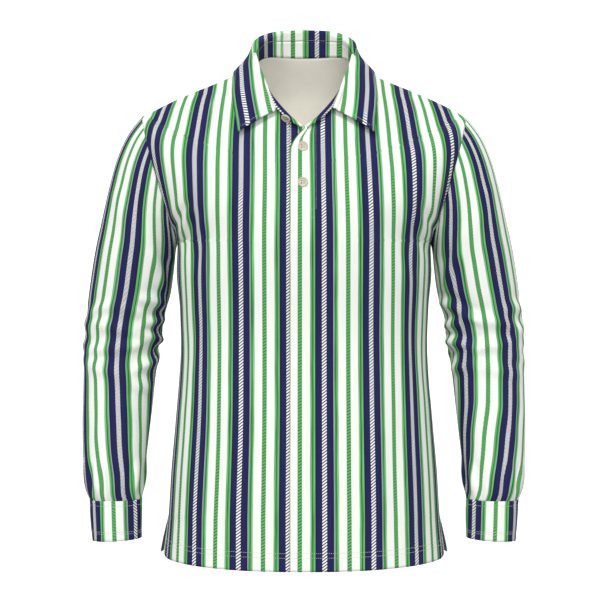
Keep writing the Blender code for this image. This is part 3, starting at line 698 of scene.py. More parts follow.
# %% How wide the stripes lie
# The repeat in mm, and how much wider than flat the stripes are shown at each height
REPEAT = 68.5
LEFT_SCALE = table("z scale", (-643, 1.02), (-475, 1.0), (-247, 0.99), (-165, 0.958), (-107, 0.942))
RIGHT_SCALE = table("z scale", (-643, 1.03), (-475, 0.995), (-246, 1.0), (-165, 0.985), (-107, 0.995))
EVEN_SCALE = table("z scale", (-643, 1.0), (-107, 1.0))
print("scale of the stripes at the hem:", LEFT_SCALE["scale"][0], RIGHT_SCALE["scale"][0])

# %% Lengths along level sections
LEVELS = np.arange(-716.0, 76.0, 4.0)


def evened(x, walked, reach=6):
    """The lengths at each x, averaged over the levels just above and below, so no stripe kinks."""
    known = [np.isfinite(row) for row in walked]
    lines = []
    for i, there in enumerate(known):
        order = np.argsort(x[i, there])
        lines.append((x[i, there][order], walked[i, there][order]))
    even = walked.copy()
    for i, here in enumerate(known):
        span = range(max(0, i - reach), min(len(lines), i + reach + 1))
        near = [lines[k] for k in span if known[k].sum() > 20]
        if not near or not here.any():
            continue
        at = x[i, here]
        beyond = [1.3 * (np.maximum(0, at - xs[-1]) + np.minimum(0, at - xs[0])) for xs, _ in near]
        read_off = [np.interp(at, *line) + more for line, more in zip(near, beyond)]
        even[i, here] = np.mean(read_off, axis=0)
    return even


def level_length(points):
    """How far each point is from the middle, measured along the level section through it."""
    rows, columns = points.shape[:2]
    x, y, walked = np.full((3, len(LEVELS), columns), np.nan)
    for j in range(columns):
        heights = np.maximum.accumulate(points[:, j, 2] + np.arange(rows) * 1e-6)
        inside = (LEVELS >= heights[0] - 4) & (LEVELS <= heights[-1] + 4)
        x[inside, j] = np.interp(LEVELS[inside], heights, points[:, j, 0])
        y[inside, j] = np.interp(LEVELS[inside], heights, points[:, j, 1])
    for i in range(len(LEVELS)):
        there = np.flatnonzero(np.isfinite(x[i]))
        if len(there) < 2:
            continue
        for part in np.split(there, np.flatnonzero(np.diff(there) > 1) + 1):
            run = walk(np.stack((x[i, part], y[i, part]), axis=-1))
            inner = int(np.argmin(np.abs(x[i, part])))
            walked[i, part] = run - run[inner] + x[i, part[inner]]
    walked = evened(x, walked)
    result = np.zeros((rows, columns))
    for j in range(columns):
        known = np.isfinite(walked[:, j])
        result[:, j] = np.interp(points[:, j, 2], LEVELS[known], walked[known, j])
    return result

# %% Stripe places on the body
FREE_EDGE = {"drawn_in": 1.6, "within": 6.0, "fades": 8.0}


def stripe_places(points, scale, twist_at):
    """Metres from the middle of a twisted stripe, and metres up the cloth."""
    over = level_length(points) / follow(scale["z"], scale["scale"], points[:, :, 2]) - twist_at
    up = lengths(points, 0) + points[:1, :, 2]
    return np.stack((over, up), axis=-1) * MM


def along_free_edge(places, points):
    """Bends the left front's stripes near its free edge, so that one green line follows the edge."""
    from_edge = lengths(points, 1)
    moved = (points[:, :1, 0] - CENTRE_SEAM_X) * bell(from_edge, FREE_EDGE["fades"])
    drawn_in = FREE_EDGE["drawn_in"] * np.clip(1 - from_edge / FREE_EDGE["within"], 0, 1)
    places[:, :, 0] -= (moved + drawn_in) * MM


# How far from the centre front or back the middle of a twisted stripe lies
PANEL_TWIST = {"front_left": 28.0, "front_right": -21.9, "back": 0.0}
PANEL_SCALE = {"front_left": LEFT_SCALE, "front_right": RIGHT_SCALE, "back": EVEN_SCALE}
body_uv = {name: stripe_places(points, PANEL_SCALE[name], PANEL_TWIST[name])
           for name, points in unfolded.items()}
along_free_edge(body_uv["front_left"], unfolded["front_left"])
shown = float(np.ptp(body_uv["front_left"][60, :, 0])) / MM / REPEAT
print("repeats across the left front:", round(shown, 2))

# %% Stripe places on the sleeves and cuffs
# How far from a sleeve's front line the middle of a twisted stripe lies
SLEEVE_TWIST = {
    -1: table("ring over", (0.3, 37), (1.3, 18), (2.6, 4.5), (4, 0.7), (7, -0.5), (9, -1),
              (11.6, 0), (14.4, 0), (17.2, -5), (19, -10), (21.5, -16.5), (24, -17)),
    1: table("ring over", (0.75, 56), (2.05, 41.5), (3.2, 32), (4.75, 27.5), (7, 28), (9, 29),
             (11.6, 30), (14.4, 29), (17.3, 25.5), (19.1, 16.5), (21.5, 7.5), (24, 4)),
}
CUFF_TWIST = {-1: 32.5, 1: 34.0}


def tube_places(points, twist_at, scale):
    """Stripe places on a tube, measured from its front line towards its outer line."""
    around = lengths(points, 1)
    over = (around - around[:, RING_COLUMNS // 4][:, None] - twist_at) / scale
    down = lengths(points, 0)
    return np.stack((over, -down), axis=-1) * MM

# %% Stripe places on the sleeve's cap
# How much closer to the outer line the stripes draw towards the shoulder, by mm down from there
CAP_DRAW = table("down draw", (0, 1.5), (50, 1.36), (126, 1.2), (214, 1.0), (400, 1.0))
# The cap's rings: where it ends, over how many it blends in, and how far its outer line is read
CAP_ENDS_AT, CAP_BLEND, CAP_LINE_TO = 5.5, 1.5, 9
CAP_CLOSE = (5.0, 20.0)    # mm off the outer line, from where and by where its lead is taken up


def cap_places(points, rings, places):
    """Near the armhole the stripes run beside the sleeve's outer line and end at the seam."""
    fine = np.linspace(0, CAP_LINE_TO, 500)
    line = np.stack([read(SLEEVE, "outer_" + axis, fine, "ring") for axis in "xz"], axis=-1)
    last = int(np.argmax(rings >= CAP_ENDS_AT))
    top = points[:last + 1][:, :, [0, 2]]
    away = np.linalg.norm(top[:, :, None] - line[None, None], axis=-1)
    down = walk(line)[away.argmin(axis=-1)]
    draw = follow(CAP_DRAW["down"], CAP_DRAW["draw"], down)
    off = away.min(axis=-1) * draw
    laid = places.copy()
    half = (points.shape[1] - 1) // 2
    around = lengths(points[:last + 1], 1)
    close_over = places[last, half, 0] + (around - around[:, half:half + 1]) * np.sqrt(draw) * MM
    far = np.clip((off - CAP_CLOSE[0]) / (CAP_CLOSE[1] - CAP_CLOSE[0]), 0, 1)
    far = far * far * (3 - 2 * far)
    mix = np.clip((CAP_ENDS_AT - rings[:last + 1]) / CAP_BLEND, 0, 1)[:, None]
    for columns in (slice(0, half + 1), slice(half, None)):
        order = np.argsort(off[last, columns])
        known, known_over = off[last, columns][order], places[last, columns, 0][order]
        beyond = np.maximum(0, off[:, columns] - known[-1]) * MM
        turn = np.sign(known_over[-1] - known_over[0])
        over = np.interp(off[:, columns], known, known_over) + turn * beyond
        over = close_over[:, columns] + (over - close_over[:, columns]) * far[:, columns]
        lag = places[last, columns, 1] + down[last, columns] * MM
        along = np.interp(off[:, columns], known, lag[order]) - down[:, columns] * MM
        for k, fresh in enumerate((over, along)):
            laid[:last + 1, columns, k] += (fresh - places[:last + 1, columns, k]) * mix
    return laid


sleeve_uv = {}
for word, side in SIDES.items():
    plain, _, _, rings = sleeves[word]
    twist = follow(SLEEVE_TWIST[side]["ring"], SLEEVE_TWIST[side]["over"], rings)[:, None]
    scale = np.interp(rings, (19, 22), (1.0, 0.92))[:, None]
    sleeve_uv[word] = cap_places(plain, rings, tube_places(plain, twist, scale))
    print("cap of the", word, "sleeve ends at ring", CAP_ENDS_AT)

# %% Cuffs
CUFF_SCALE = 0.95          # the stripes lie this much closer on a cuff
CUFF_SAG = 0.5             # how far its bands swell in and out between the seams
CUFF_DENTS = (7.5, 10.0)   # the dents of its stitching, from the top, and 3 mm more from the bottom

cuffs = {}
for word, side in SIDES.items():
    points = ring_points(CUFF, even_rings(CUFF, CUFF_ROWS))
    points[:, -1] = points[:, 0]
    out, down = tube_out(points), lengths(points, 0)
    full = down[-1:]
    sag = CUFF_SAG * np.sin(ANGLES[None, :] * 5 + side) * np.sin(down / full * math.pi)
    for height in CUFF_DENTS:
        sag = sag - 0.3 * bell(down - height, 1.4) - 0.3 * bell(full - down - height - 3, 1.4)
    places = tube_places(points, CUFF_TWIST[side], CUFF_SCALE)
    cuffs[word] = (points + out * (CLOTH_OUT + sag)[..., None], out, places)
    print("cuff", word, "is", round(float(full.mean())), "mm deep")

# %% [markdown]
# ## Collar
# The neckband stands up from the neckline and the fall turns down over it. At the open front the
# band's ends roll outward, so its inner face shows as a narrow strip beside each point. The fall is
# cut like a horseshoe: stripes cross it at the back of the neck and run along its legs at the front.
# Two numbers a section say which stripe lies on the fold and which on the edge.

# %% The neckband's lines
UP = np.array((0.0, 0.0, 1.0))


def neck_point(around, station=3.0):
    """A point of the neckline, from the centre front (0) to the centre back (2), on the left side."""
    if around <= 1:
        return torso("front", station, [around])[0]
    return torso("back", station, [2.0 - around])[0]


def stand_line(around):
    """The neckband's root just clear of the neckline, and the way that it rises from there."""
    base = neck_point(around)
    turn = math.radians(float(read(STAND, "turn_out", around, "around")))
    outward = unit((base - np.array((0.0, NECK_AXIS_Y, 0.0))) * (1, 1, 0))
    rise = np.array((0.0, 0.0, math.cos(turn))) + outward * math.sin(turn)
    leave = unit(base - neck_point(around, 2.97))
    crease = math.sqrt(max(0.0, (1 - float(np.sum(leave * rise))) / 2))
    return base + unit(leave + rise) * (0.3 + 1.8 * crease) * SEAM_STEP, rise


def stand_top(around):
    """The neckband's top edge."""
    root, rise = stand_line(around)
    return root + rise * float(read(STAND, "height", around, "around"))

# %% Stripes of the neckband
# The stripe place at each x behind the neck, on the band and on the fall's inside
BACK_NECK = table(
    "x place", (-75, -20.3), (-71, -15), (-68.3, -12.8), (-60.5, -3.3), (-55.6, 3.3), (-47.6, 12.8),
    (-41.7, 20.3), (-38.8, 22), (-35.9, 20.3), (-33.8, 17.2), (-31.6, 20.3), (-27.6, 24), (-20.3, 31.2),
    (-13.4, 37.3), (-7.7, 44), (-2.6, 48.2), (7.1, 55.7), (16.9, 65.2), (23.3, 71.8), (33.6, 81.3),
    (39.9, 88.8), (45, 94), (50.2, 99.6), (58.6, 105.8), (62.8, 111), (66.9, 116.7), (72.8, 124.2),
    (78, 130),
)
# The same at the open front: places along the band's root and its top edge, alike on both ends
STAND_FRONT = (
    (0.03, -26, -22), (0.12, -20.5, -14.5), (0.20, -13.6, -3.4), (0.28, -12.8, -1.2),
    (0.36, -12.6, -0.6), (0.43, -12.2, -0.6),
)
STAND_STRIPES = {
    -1: table("around root top", *STAND_FRONT, (0.80, -12, -3), (1.10, -20, -20)),
    1: table("around root top", *STAND_FRONT, (0.52, -12, -3), (0.80, 90, 90), (1.10, 130, 130)),
}
BEHIND_FROM, BEHIND_OVER = 1.10, 0.12  # round the neck, where the places behind it take over
STAND_BULGE = 1.2


def back_neck_place(x):
    """The stripe place behind the neck."""
    return np.interp(x, BACK_NECK["x"], BACK_NECK["place"])

# %% Neckband
STAND_UP, STAND_ALONG = 7, 90


def stand_column(around, side):
    """One column of the neckband from its root to its top edge, and its stripe places."""
    root = stand_line(around)[0]
    top = stand_top(around)
    share = np.linspace(0, 1, STAND_UP + 1)[:, None]
    bulge = (top - root) * share + UP * np.sin(share * math.pi) * STAND_BULGE
    line = (root + bulge) * (side, 1, 1)
    stripes = STAND_STRIPES[side]
    low = follow(stripes["around"], stripes["root"], around)
    high = follow(stripes["around"], stripes["top"], around)
    front_places = low + (high - low) * share[:, 0]
    behind = min(1.0, max(0.0, (around - BEHIND_FROM) / BEHIND_OVER))
    return line, front_places + (back_neck_place(line[:, 0]) - front_places) * behind


reach = np.linspace(0.03, 2.0, STAND_ALONG + 1)
columns = [stand_column(a, -1) for a in reach] + [stand_column(a, 1) for a in reach[-2::-1]]
stand = np.array([line for line, _ in columns]).transpose(1, 0, 2)
stand_out = normals(stand)
stand_over = np.array([over for _, over in columns]).T
behind_neck = np.concatenate((reach, reach[-2::-1])) > BEHIND_FROM + BEHIND_OVER / 2
stand_up = np.where(behind_neck, lengths(stand, 0), lengths(stand, 1))
stand_uv = np.stack((stand_over, stand_up), axis=-1) * MM
print("neckband length in mm", round(float(lengths(stand, 1)[0, -1])))

# %% Stripes of the fall
# Places on the fold and at the edge. The horseshoe's legs mirror each other within one repeat.
FALL_LEG = (
    (0.0, -26.3, -84.6), (0.1, -29.0, -85.6), (0.2, -33.0, -86.0), (0.32, -38.5, -85.5),
    (0.44, -44.5, -84.0), (0.5, -47.5, -83.0), (0.56, -49.5, -82.5), (0.62, -52.0, -84.0),
    (0.70, -55.0, -84.0),
)
OTHER_LEG = [(along, REPEAT - fold, REPEAT - edge) for along, fold, edge in FALL_LEG]
FALL_STRIPES = {
    -1: table("along fold edge", *FALL_LEG,
              (0.75, -42.0, -70.0), (0.8, -13.0, -44.0), (0.9, 16.0, 4.0), (1.0, 50.3, 50.3)),
    1: table("along fold edge", *OTHER_LEG,
             (0.75, 122.5, 149.0), (0.8, 119.0, 140.0), (0.9, 93.0, 100.0), (1.0, 50.3, 50.3)),
}
print("sections with stripe places on the fall:", len(FALL_STRIPES[1]["along"]))

# %% One section of the fall
FALL_ALONG, FALL_ACROSS = 74, 34
FALL_CRESTS = (0.8, 0.7)   # how far the inside and the crest of the fold rise, in halves of it
FALL_BULGE = 1.3
INSIDE_FROM = 0.49         # past this the fall's inside takes the stripes behind the neck
CROSSWISE_FROM = 0.77      # and past this they cross the whole fall


def smooth_line(knots, count):
    """A smooth line through a few points, spread evenly."""
    walked = walk(knots)
    at = np.linspace(0, walked[-1], count * 8)
    curve = np.stack([follow(walked, knots[:, k], at) for k in range(3)], axis=-1)
    return spread(curve, count), walked


def fall_column(along, side):
    """One section of the fall, from the neckband's top edge over the fold and down to the edge."""
    value = {name: float(read(COLLAR, name, along, "along")) for name in COLLAR}
    fold = np.array([value["fold_" + axis] for axis in "xyz"])
    edge = np.array([value["edge_" + axis] for axis in "xyz"])
    if side > 0:
        further = LEFT_SPREAD * max(0.0, 1 - along * 2.5)
        fold[0] += further
        edge[0] += further
    rise = stand_line(value["around"])[1]
    start = stand_top(value["around"]) + rise * 0.2
    away = unit((edge - start) * (1, 1, 0))
    climb = max(0.0, fold[2] - start[2] - LEAF_FOLD_HALF)
    inside = start + rise * (climb + LEAF_FOLD_HALF * FALL_CRESTS[0])
    outside = fold + away * LEAF_FOLD_HALF - UP * LEAF_FOLD_HALF / 2
    crest = (inside + outside) / 2 + unit(rise + UP) * LEAF_FOLD_HALF * FALL_CRESTS[1]
    square = unit(np.cross(edge - outside, np.array((-away[1], away[0], 0.0))))
    square *= math.copysign(1.0, square[2])
    down = [outside + (edge - outside) * step + square * FALL_BULGE * math.sin(step * math.pi)
            for step in np.linspace(0, 1, 7)]
    knots = np.array([start, (start + inside) / 2, inside, crest] + down)
    line, walked = smooth_line(knots, FALL_ACROSS)
    stripes = FALL_STRIPES[side]
    at_fold = float(follow(stripes["along"], stripes["fold"], along))
    at_edge = float(follow(stripes["along"], stripes["edge"], along))
    share = (np.linspace(0, walked[-1], FALL_ACROSS + 1) - walked[4]) / (walked[-1] - walked[4])
    line = line * (side, 1, 1)
    places = at_fold + (at_edge - at_fold) * share
    inside_back = np.clip((along - INSIDE_FROM) / 0.014, 0, 1) * np.clip(1 - share / 0.04, 0, 1)
    crosswise = np.maximum(inside_back, along > CROSSWISE_FROM)
    return line, places + (back_neck_place(line[:, 0]) - places) * inside_back, crosswise

# %% The fall
reach = np.linspace(0, 1, FALL_ALONG + 1)
columns = [fall_column(a, -1) for a in reach] + [fall_column(a, 1) for a in reach[-2::-1]]
fall = np.array([line for line, _, _ in columns]).transpose(1, 0, 2)
fall_out = normals(fall)
fall_over = np.array([over for _, over, _ in columns]).T
crosswise = np.array([cross for _, _, cross in columns]).T
mirrored = np.where(np.arange(fall.shape[1]) < FALL_ALONG, -1.0, 1.0)
fall_up = np.where(crosswise > 0.5, lengths(fall, 0), lengths(fall, 1) * mirrored)
fall_uv = np.stack((fall_over, fall_up), axis=-1) * MM
print("outer edge of the fall in mm", round(float(lengths(fall, 1)[-1, -1])))

# %% Button stand
UNDER_BEHIND = 2.3         # behind the top layer's middle


def under_placket():
    """The strip that carries the buttons, behind the left front's top layer."""
    upper = [s for s in STATIONS if read(MIDDLE, "front_z", s) > PLACKET_BOTTOM_Z]
    xs = np.linspace(PLACKET_UNDER_X[0], PLACKET_UNDER_X[1], 13)
    points = np.array([torso("front", s, [share_at(s, x) for x in xs]) for s in upper])
    out = normals(points)
    over = np.broadcast_to(xs - PANEL_TWIST["front_right"], points.shape[:2])
    places = np.stack((over, points[:, :, 2]), axis=-1) * MM
    return points - out * UNDER_BEHIND, out, places


under, under_out, under_uv = under_placket()
print("button stand in mm:", round(float(lengths(under, 0)[-1, 0])), "long")

# %% [markdown]
# ## Materials
# All the striped pieces share one jersey. A colour ramp holds the repeat from the middle of one
# twill stripe to the next, with the twisted stripe at its centre. Two of the stripes aren't plain
# colours: the rope-like twist is dashes of grey yarn on white, and the twill is two greens in fine
# slanting rows. Both are worked out from the distance to the stripe's middle and the length along
# the cloth. The knit is too fine to model, so it is a small bump.

# %% Shader helpers
def link_value(tree, socket, value):
    """Joins a socket to another socket, or sets it to a number."""
    if isinstance(value, bpy.types.NodeSocket):
        tree.links.new(value, socket)
    else:
        socket.default_value = value


def reckon(tree, operation, a, b=0.0, c=0.0):
    """A math node's result."""
    node = tree.nodes.new("ShaderNodeMath")
    node.operation = operation
    for socket, value in zip(node.inputs, (a, b, c)):
        link_value(tree, socket, value)
    return node.outputs[0]


def blend_colour(tree, share, first, second):
    """A colour between two, by a share from 0 to 1."""
    node = tree.nodes.new("ShaderNodeMix")
    node.data_type = "RGBA"
    link_value(tree, node.inputs["Factor"], share)
    for socket, value in zip((node.inputs[6], node.inputs[7]), (first, second)):
        link_value(tree, socket, value if isinstance(value, bpy.types.NodeSocket) else (*value, 1.0))
    return node.outputs[2]


def noise(tree, vector, scale, detail=2.0):
    """Soft noise from 0 to 1."""
    node = tree.nodes.new("ShaderNodeTexNoise")
    node.inputs["Scale"].default_value = scale
    node.inputs["Detail"].default_value = detail
    tree.links.new(vector, node.inputs["Vector"])
    return node.outputs["Fac"]


def step_between(tree, value, low, high):
    """A share that climbs from 0 at low to 1 at high."""
    node = tree.nodes.new("ShaderNodeMapRange")
    node.interpolation_type = "SMOOTHSTEP"
    link_value(tree, node.inputs["Value"], value)
    node.inputs["From Min"].default_value = low
    node.inputs["From Max"].default_value = high
    return node.outputs["Result"]

# %% Colours of the yarns
WHITE = (0.880, 0.885, 0.848)
NAVY = (0.0162, 0.0162, 0.079)
NAVY_LIGHT = (0.021, 0.021, 0.092)
GREEN = (0.100, 0.372, 0.115)
DARK_GREEN = (0.022, 0.198, 0.037)
LIGHT_GREEN = (0.138, 0.441, 0.138)
PALE_GREEN = (0.368, 0.552, 0.363)
MINT = (0.220, 0.515, 0.161)
LAVENDER = (0.410, 0.414, 0.478)
GREY = (0.020, 0.020, 0.023)
TWILL_DARK = (0.031, 0.207, 0.042)
TWILL_LIGHT = (0.138, 0.450, 0.152)
IVORY = (0.900, 0.880, 0.800)
CREAM = (0.66, 0.61, 0.50)

# Each stripe's colour at its places, in mm from the twist's middle
STRIPES = (
    (-34.25, WHITE), (-20.3, WHITE), (-19.8, PALE_GREEN), (-18.9, LIGHT_GREEN), (-17.6, LIGHT_GREEN),
    (-17.2, DARK_GREEN), (-15.9, DARK_GREEN), (-15.5, GREEN), (-14.1, GREEN), (-13.8, MINT),
    (-13.0, MINT), (-12.8, NAVY), (-8.0, NAVY_LIGHT), (8.0, NAVY_LIGHT), (12.8, NAVY), (13.0, LAVENDER),
    (13.7, LAVENDER), (14.0, GREEN), (15.3, GREEN), (15.8, DARK_GREEN), (17.0, DARK_GREEN),
    (17.4, LIGHT_GREEN), (18.8, LIGHT_GREEN), (19.3, PALE_GREEN), (19.9, PALE_GREEN), (20.4, WHITE),
    (34.25, WHITE),
)
# Slant and pitch of the slanting rows in the twist and in the twill, pitch in mm
TWIST_ROWS = (0.75, 4.4)
TWILL_ROWS = (0.6, 4.4)
print("colour stops in one repeat:", len(STRIPES))

# %% Parts of a cloth's material
WALE, COURSE = 0.9, 0.8    # the knit's columns and rows of loops, in mm


def knit_bump(tree, over, up, strength):
    """Rows of tiny loops, as the jersey's wales and courses."""
    wales = reckon(tree, "SINE", reckon(tree, "MULTIPLY", over, math.pi / WALE))
    wales = reckon(tree, "ABSOLUTE", wales)
    courses = reckon(tree, "SINE", reckon(tree, "MULTIPLY", up, 2 * math.pi / COURSE))
    height = reckon(tree, "MULTIPLY_ADD", courses, 0.3, wales)
    bump = tree.nodes.new("ShaderNodeBump")
    bump.inputs["Strength"].default_value = strength
    bump.inputs["Distance"].default_value = 0.00012
    tree.links.new(height, bump.inputs["Height"])
    return bump.outputs["Normal"]


def new_material(name, roughness, specular, sheen):
    """A material with its tree, its shader and the sockets that stay plain numbers."""
    material = bpy.data.materials.new(name)
    material.use_nodes = True
    tree = material.node_tree
    shader = tree.nodes["Principled BSDF"]
    shader.inputs["Roughness"].default_value = roughness
    shader.inputs["Specular IOR Level"].default_value = specular
    shader.inputs["Sheen Weight"].default_value = sheen
    shader.inputs["Sheen Roughness"].default_value = 0.5
    return material, tree, shader


def cloth_places(tree):
    """Millimetres across and along the cloth, from the piece's own UV map."""
    uv = tree.nodes.new("ShaderNodeUVMap")
    uv.uv_map = "cloth"
    parts = tree.nodes.new("ShaderNodeSeparateXYZ")
    tree.links.new(uv.outputs["UV"], parts.inputs["Vector"])
    over = reckon(tree, "DIVIDE", parts.outputs["X"], MM)
    up = reckon(tree, "DIVIDE", parts.outputs["Y"], MM)
    return uv.outputs["UV"], over, up


def mask(tree, distance, half, soft):
    """1 closer than half, 0 further off, with a soft edge."""
    return reckon(tree, "SUBTRACT", 1.0, step_between(tree, distance, half - soft, half + soft))


def slanted_rows(tree, up, across, slant, pitch):
    """How far a point is from the middle of its slanting row, from 0 to 0.5 of the pitch."""
    climbed = reckon(tree, "SUBTRACT", up, reckon(tree, "MULTIPLY", across, slant))
    row = reckon(tree, "FRACT", reckon(tree, "DIVIDE", climbed, pitch))
    return reckon(tree, "ABSOLUTE", reckon(tree, "SUBTRACT", row, 0.5))

# %% Striped jersey
ROW_HALF = 2.95            # half the width of a band of slanting rows


def striped_jersey(name, knit=0.35):
    """The yarn-dyed stripe."""
    material, tree, shader = new_material(name, 0.88, 0.07, 0.02)
    uv, over, up = cloth_places(tree)
    stretched = tree.nodes.new("ShaderNodeMapping")
    stretched.inputs["Scale"].default_value = (620.0, 13.0, 1.0)
    tree.links.new(uv, stretched.inputs["Vector"])
    streaks = noise(tree, stretched.outputs["Vector"], 1.0)
    fibre = noise(tree, uv, 1100.0)
    wander = reckon(tree, "MULTIPLY", reckon(tree, "SUBTRACT", fibre, 0.5), 0.35)
    place = reckon(tree, "ADD", over, wander)
    share = reckon(tree, "FRACT", reckon(tree, "ADD", reckon(tree, "DIVIDE", place, REPEAT), 0.5))
    ramp = tree.nodes.new("ShaderNodeValToRGB")
    ramp.color_ramp.interpolation = "LINEAR"
    stops = ramp.color_ramp.elements
    while len(stops) < len(STRIPES):
        stops.new(0.5)
    for stop, (at, colour) in zip(stops, STRIPES):
        stop.position = (at + REPEAT / 2) / REPEAT
        stop.color = (*colour, 1.0)
    tree.links.new(share, ramp.inputs["Fac"])
    from_twist = reckon(tree, "MULTIPLY", reckon(tree, "SUBTRACT", share, 0.5), REPEAT)
    off_twist = reckon(tree, "ABSOLUTE", from_twist)

    from_dash = slanted_rows(tree, up, from_twist, *TWIST_ROWS)
    dash = mask(tree, from_dash, 0.205, 0.06)
    rope = blend_colour(tree, dash, WHITE, GREY)
    notched = reckon(tree, "MULTIPLY_ADD", from_dash, -0.9, off_twist)
    in_twist = mask(tree, notched, ROW_HALF, 0.15)
    colour = blend_colour(tree, in_twist, ramp.outputs["Color"], rope)

    from_twill = reckon(tree, "SUBTRACT", REPEAT / 2, off_twist)
    signed_twill = reckon(tree, "MULTIPLY", from_twill, reckon(tree, "SIGN", from_twist))
    from_row = slanted_rows(tree, up, reckon(tree, "MULTIPLY", signed_twill, -1.0), *TWILL_ROWS)
    twill = blend_colour(tree, mask(tree, from_row, 0.24, 0.08), TWILL_LIGHT, TWILL_DARK)
    notched = reckon(tree, "MULTIPLY_ADD", from_row, -0.9, from_twill)
    in_twill = mask(tree, notched, ROW_HALF, 0.12)
    colour = blend_colour(tree, in_twill, colour, twill)

    off_green = reckon(tree, "ABSOLUTE", reckon(tree, "SUBTRACT", off_twist, 17.0))
    strength = reckon(tree, "MULTIPLY_ADD", mask(tree, off_green, 3.2, 0.2), 2.0, 0.12)
    uneven = reckon(tree, "MULTIPLY_ADD", reckon(tree, "SUBTRACT", streaks, 0.5), strength, 1.0)
    shaded = tree.nodes.new("ShaderNodeHueSaturation")
    tree.links.new(colour, shaded.inputs["Color"])
    tree.links.new(uneven, shaded.inputs["Value"])
    tree.links.new(shaded.outputs["Color"], shader.inputs["Base Color"])
    tree.links.new(knit_bump(tree, over, up, knit), shader.inputs["Normal"])
    return material

# %% Plain jersey
# A painted glow: the inside emits a little of its own colour, standing in for the daylight that thin
# white jersey lets through to its inside
PAINTED_GLOW_INSIDE = 0.05


def plain_jersey(name, colour, knit=0.4):
    """The plain inside of the cloth, with a faint painted glow in place of light let through."""
    material, tree, shader = new_material(name, 0.9, 0.07, 0.03)
    uv, over, up = cloth_places(tree)
    mottle = noise(tree, uv, 60.0, 4.0)
    darker = tuple(c * 0.93 for c in colour)
    shade = blend_colour(tree, mottle, darker, colour)
    tree.links.new(shade, shader.inputs["Base Color"])
    # painted glow: the inside's own colour is emitted, as if light shone through the jersey
    tree.links.new(shade, shader.inputs["Emission Color"])
    shader.inputs["Emission Strength"].default_value = PAINTED_GLOW_INSIDE
    tree.links.new(knit_bump(tree, over, up, knit), shader.inputs["Normal"])
    return material


jersey = striped_jersey("jersey_stripe")
lining = plain_jersey("jersey_inside", IVORY)

# %% Tape
TAPE_WIDTH, TAPE_EDGE = 16.0, 2.2


def vent_tape_material():
    """Narrow woven tape, dark twill between navy edges."""
    material, tree, shader = new_material("vent_tape", 0.8, 0.1, 0.0)
    _, over, up = cloth_places(tree)
    in_row = mask(tree, slanted_rows(tree, up, over, 1.0, 2.2), 0.22, 0.08)
    twill = blend_colour(tree, in_row, (0.020, 0.026, 0.019), (0.075, 0.090, 0.068))
    off_middle = reckon(tree, "ABSOLUTE", reckon(tree, "SUBTRACT", over, TAPE_WIDTH / 2))
    inner = mask(tree, off_middle, TAPE_WIDTH / 2 - TAPE_EDGE, 0.2)
    tree.links.new(blend_colour(tree, inner, NAVY, twill), shader.inputs["Base Color"])
    return material


tape = vent_tape_material()
print("materials so far:", [m.name for m in (jersey, lining, tape)])

# %% Thread, button resin and the painted shade of the buttons' holes
def clouded(name, roughness, specular, size, detail, dark, light):
    """A plain stuff whose colour varies a little, by soft noise on the piece's own coordinates."""
    material, tree, shader = new_material(name, roughness, specular, 0.0)
    coordinates = tree.nodes.new("ShaderNodeTexCoord")
    clouds = noise(tree, coordinates.outputs["Object"], size, detail)
    tree.links.new(blend_colour(tree, clouds, dark, light), shader.inputs["Base Color"])
    return material


thread = clouded("sewing_thread", 0.6, 0.3, 900.0, 2.0, (0.50, 0.50, 0.47), (0.68, 0.68, 0.65))
resin = clouded("button_resin", 0.32, 0.4, 260.0, 3.0, (0.50, 0.45, 0.35), CREAM)
# The holes' walls: near-black, painted shade where the narrow holes would lie in shadow
hole_painted_shade = clouded("button_hole_painted_shade", 0.9, 0.05, 1500.0, 2.0,
                     (0.03, 0.027, 0.02), (0.07, 0.06, 0.045))
print("and:", [m.name for m in (thread, resin, hole_painted_shade)])

# %% [markdown]
# ## Sewing the pieces
# Each piece starts as a flat grid from one operator, as cloth starts on a roll. The grid is laid on
# the piece's points, gets its UV map, and a Solidify modifier gives it the jersey's thickness
# inward, with the plain inside as its second material. A tube's two long edges are merged after its
# UV map is made, so the stripes may jump at the seam as they do on a real sleeve.

# %% From a shape to an object
def finished(name, shape, materials, smooth=True):
    """The object made of a bmesh, with its materials, in the scene."""
    data = bpy.data.meshes.new(name)
    shape.to_mesh(data)
    shape.free()
    if smooth:
        data.shade_smooth()
    for material in materials:
        data.materials.append(material)
    piece = bpy.data.objects.new(name, data)
    bpy.context.scene.collection.objects.link(piece)
    return piece

# %% Cloth from a grid
def lay_cloth(name, points, out, places, materials, closed=False, thickness=CLOTH):
    """A sheet laid through a grid of points, as an object with a wall's thickness."""
    rows, columns = points.shape[0] - 1, points.shape[1] - 1
    sheet = bmesh.new()
    bmesh.ops.create_grid(sheet, x_segments=columns, y_segments=rows, size=0.5)
    place = sheet.verts.layers.int.new("place")
    for v in sheet.verts:
        v[place] = round((v.co.y + 0.5) * rows) * (columns + 1) + round((v.co.x + 0.5) * columns)
    uv = sheet.loops.layers.uv.new("cloth")
    flat_places = places.reshape(-1, 2)
    for face in sheet.faces:
        for loop in face.loops:
            loop[uv].uv = flat_places[loop.vert[place]]
    flat_points, flat_out = (points * MM).reshape(-1, 3), out.reshape(-1, 3)
    for v in sheet.verts:
        v.co = flat_points[v[place]]
    if closed:
        bmesh.ops.remove_doubles(sheet, verts=sheet.verts, dist=0.00002)
    sheet.normal_update()
    facing = sum(v.normal.dot(Vector(flat_out[v[place]])) for v in sheet.verts)
    if facing < 0:
        bmesh.ops.reverse_faces(sheet, faces=sheet.faces)
    piece = finished(name, sheet, materials)
    wall = piece.modifiers.new("thickness", "SOLIDIFY")
    wall.thickness = thickness * MM
    wall.offset = -1.0
    wall.use_even_offset = False
    wall.material_offset = len(materials) - 1
    return piece

# %% Standing for a CAD node
def dress(piece, node, sewn_on=()):
    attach(piece, "root")
    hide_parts(node)
    for part in sewn_on:
        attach(part, "root")

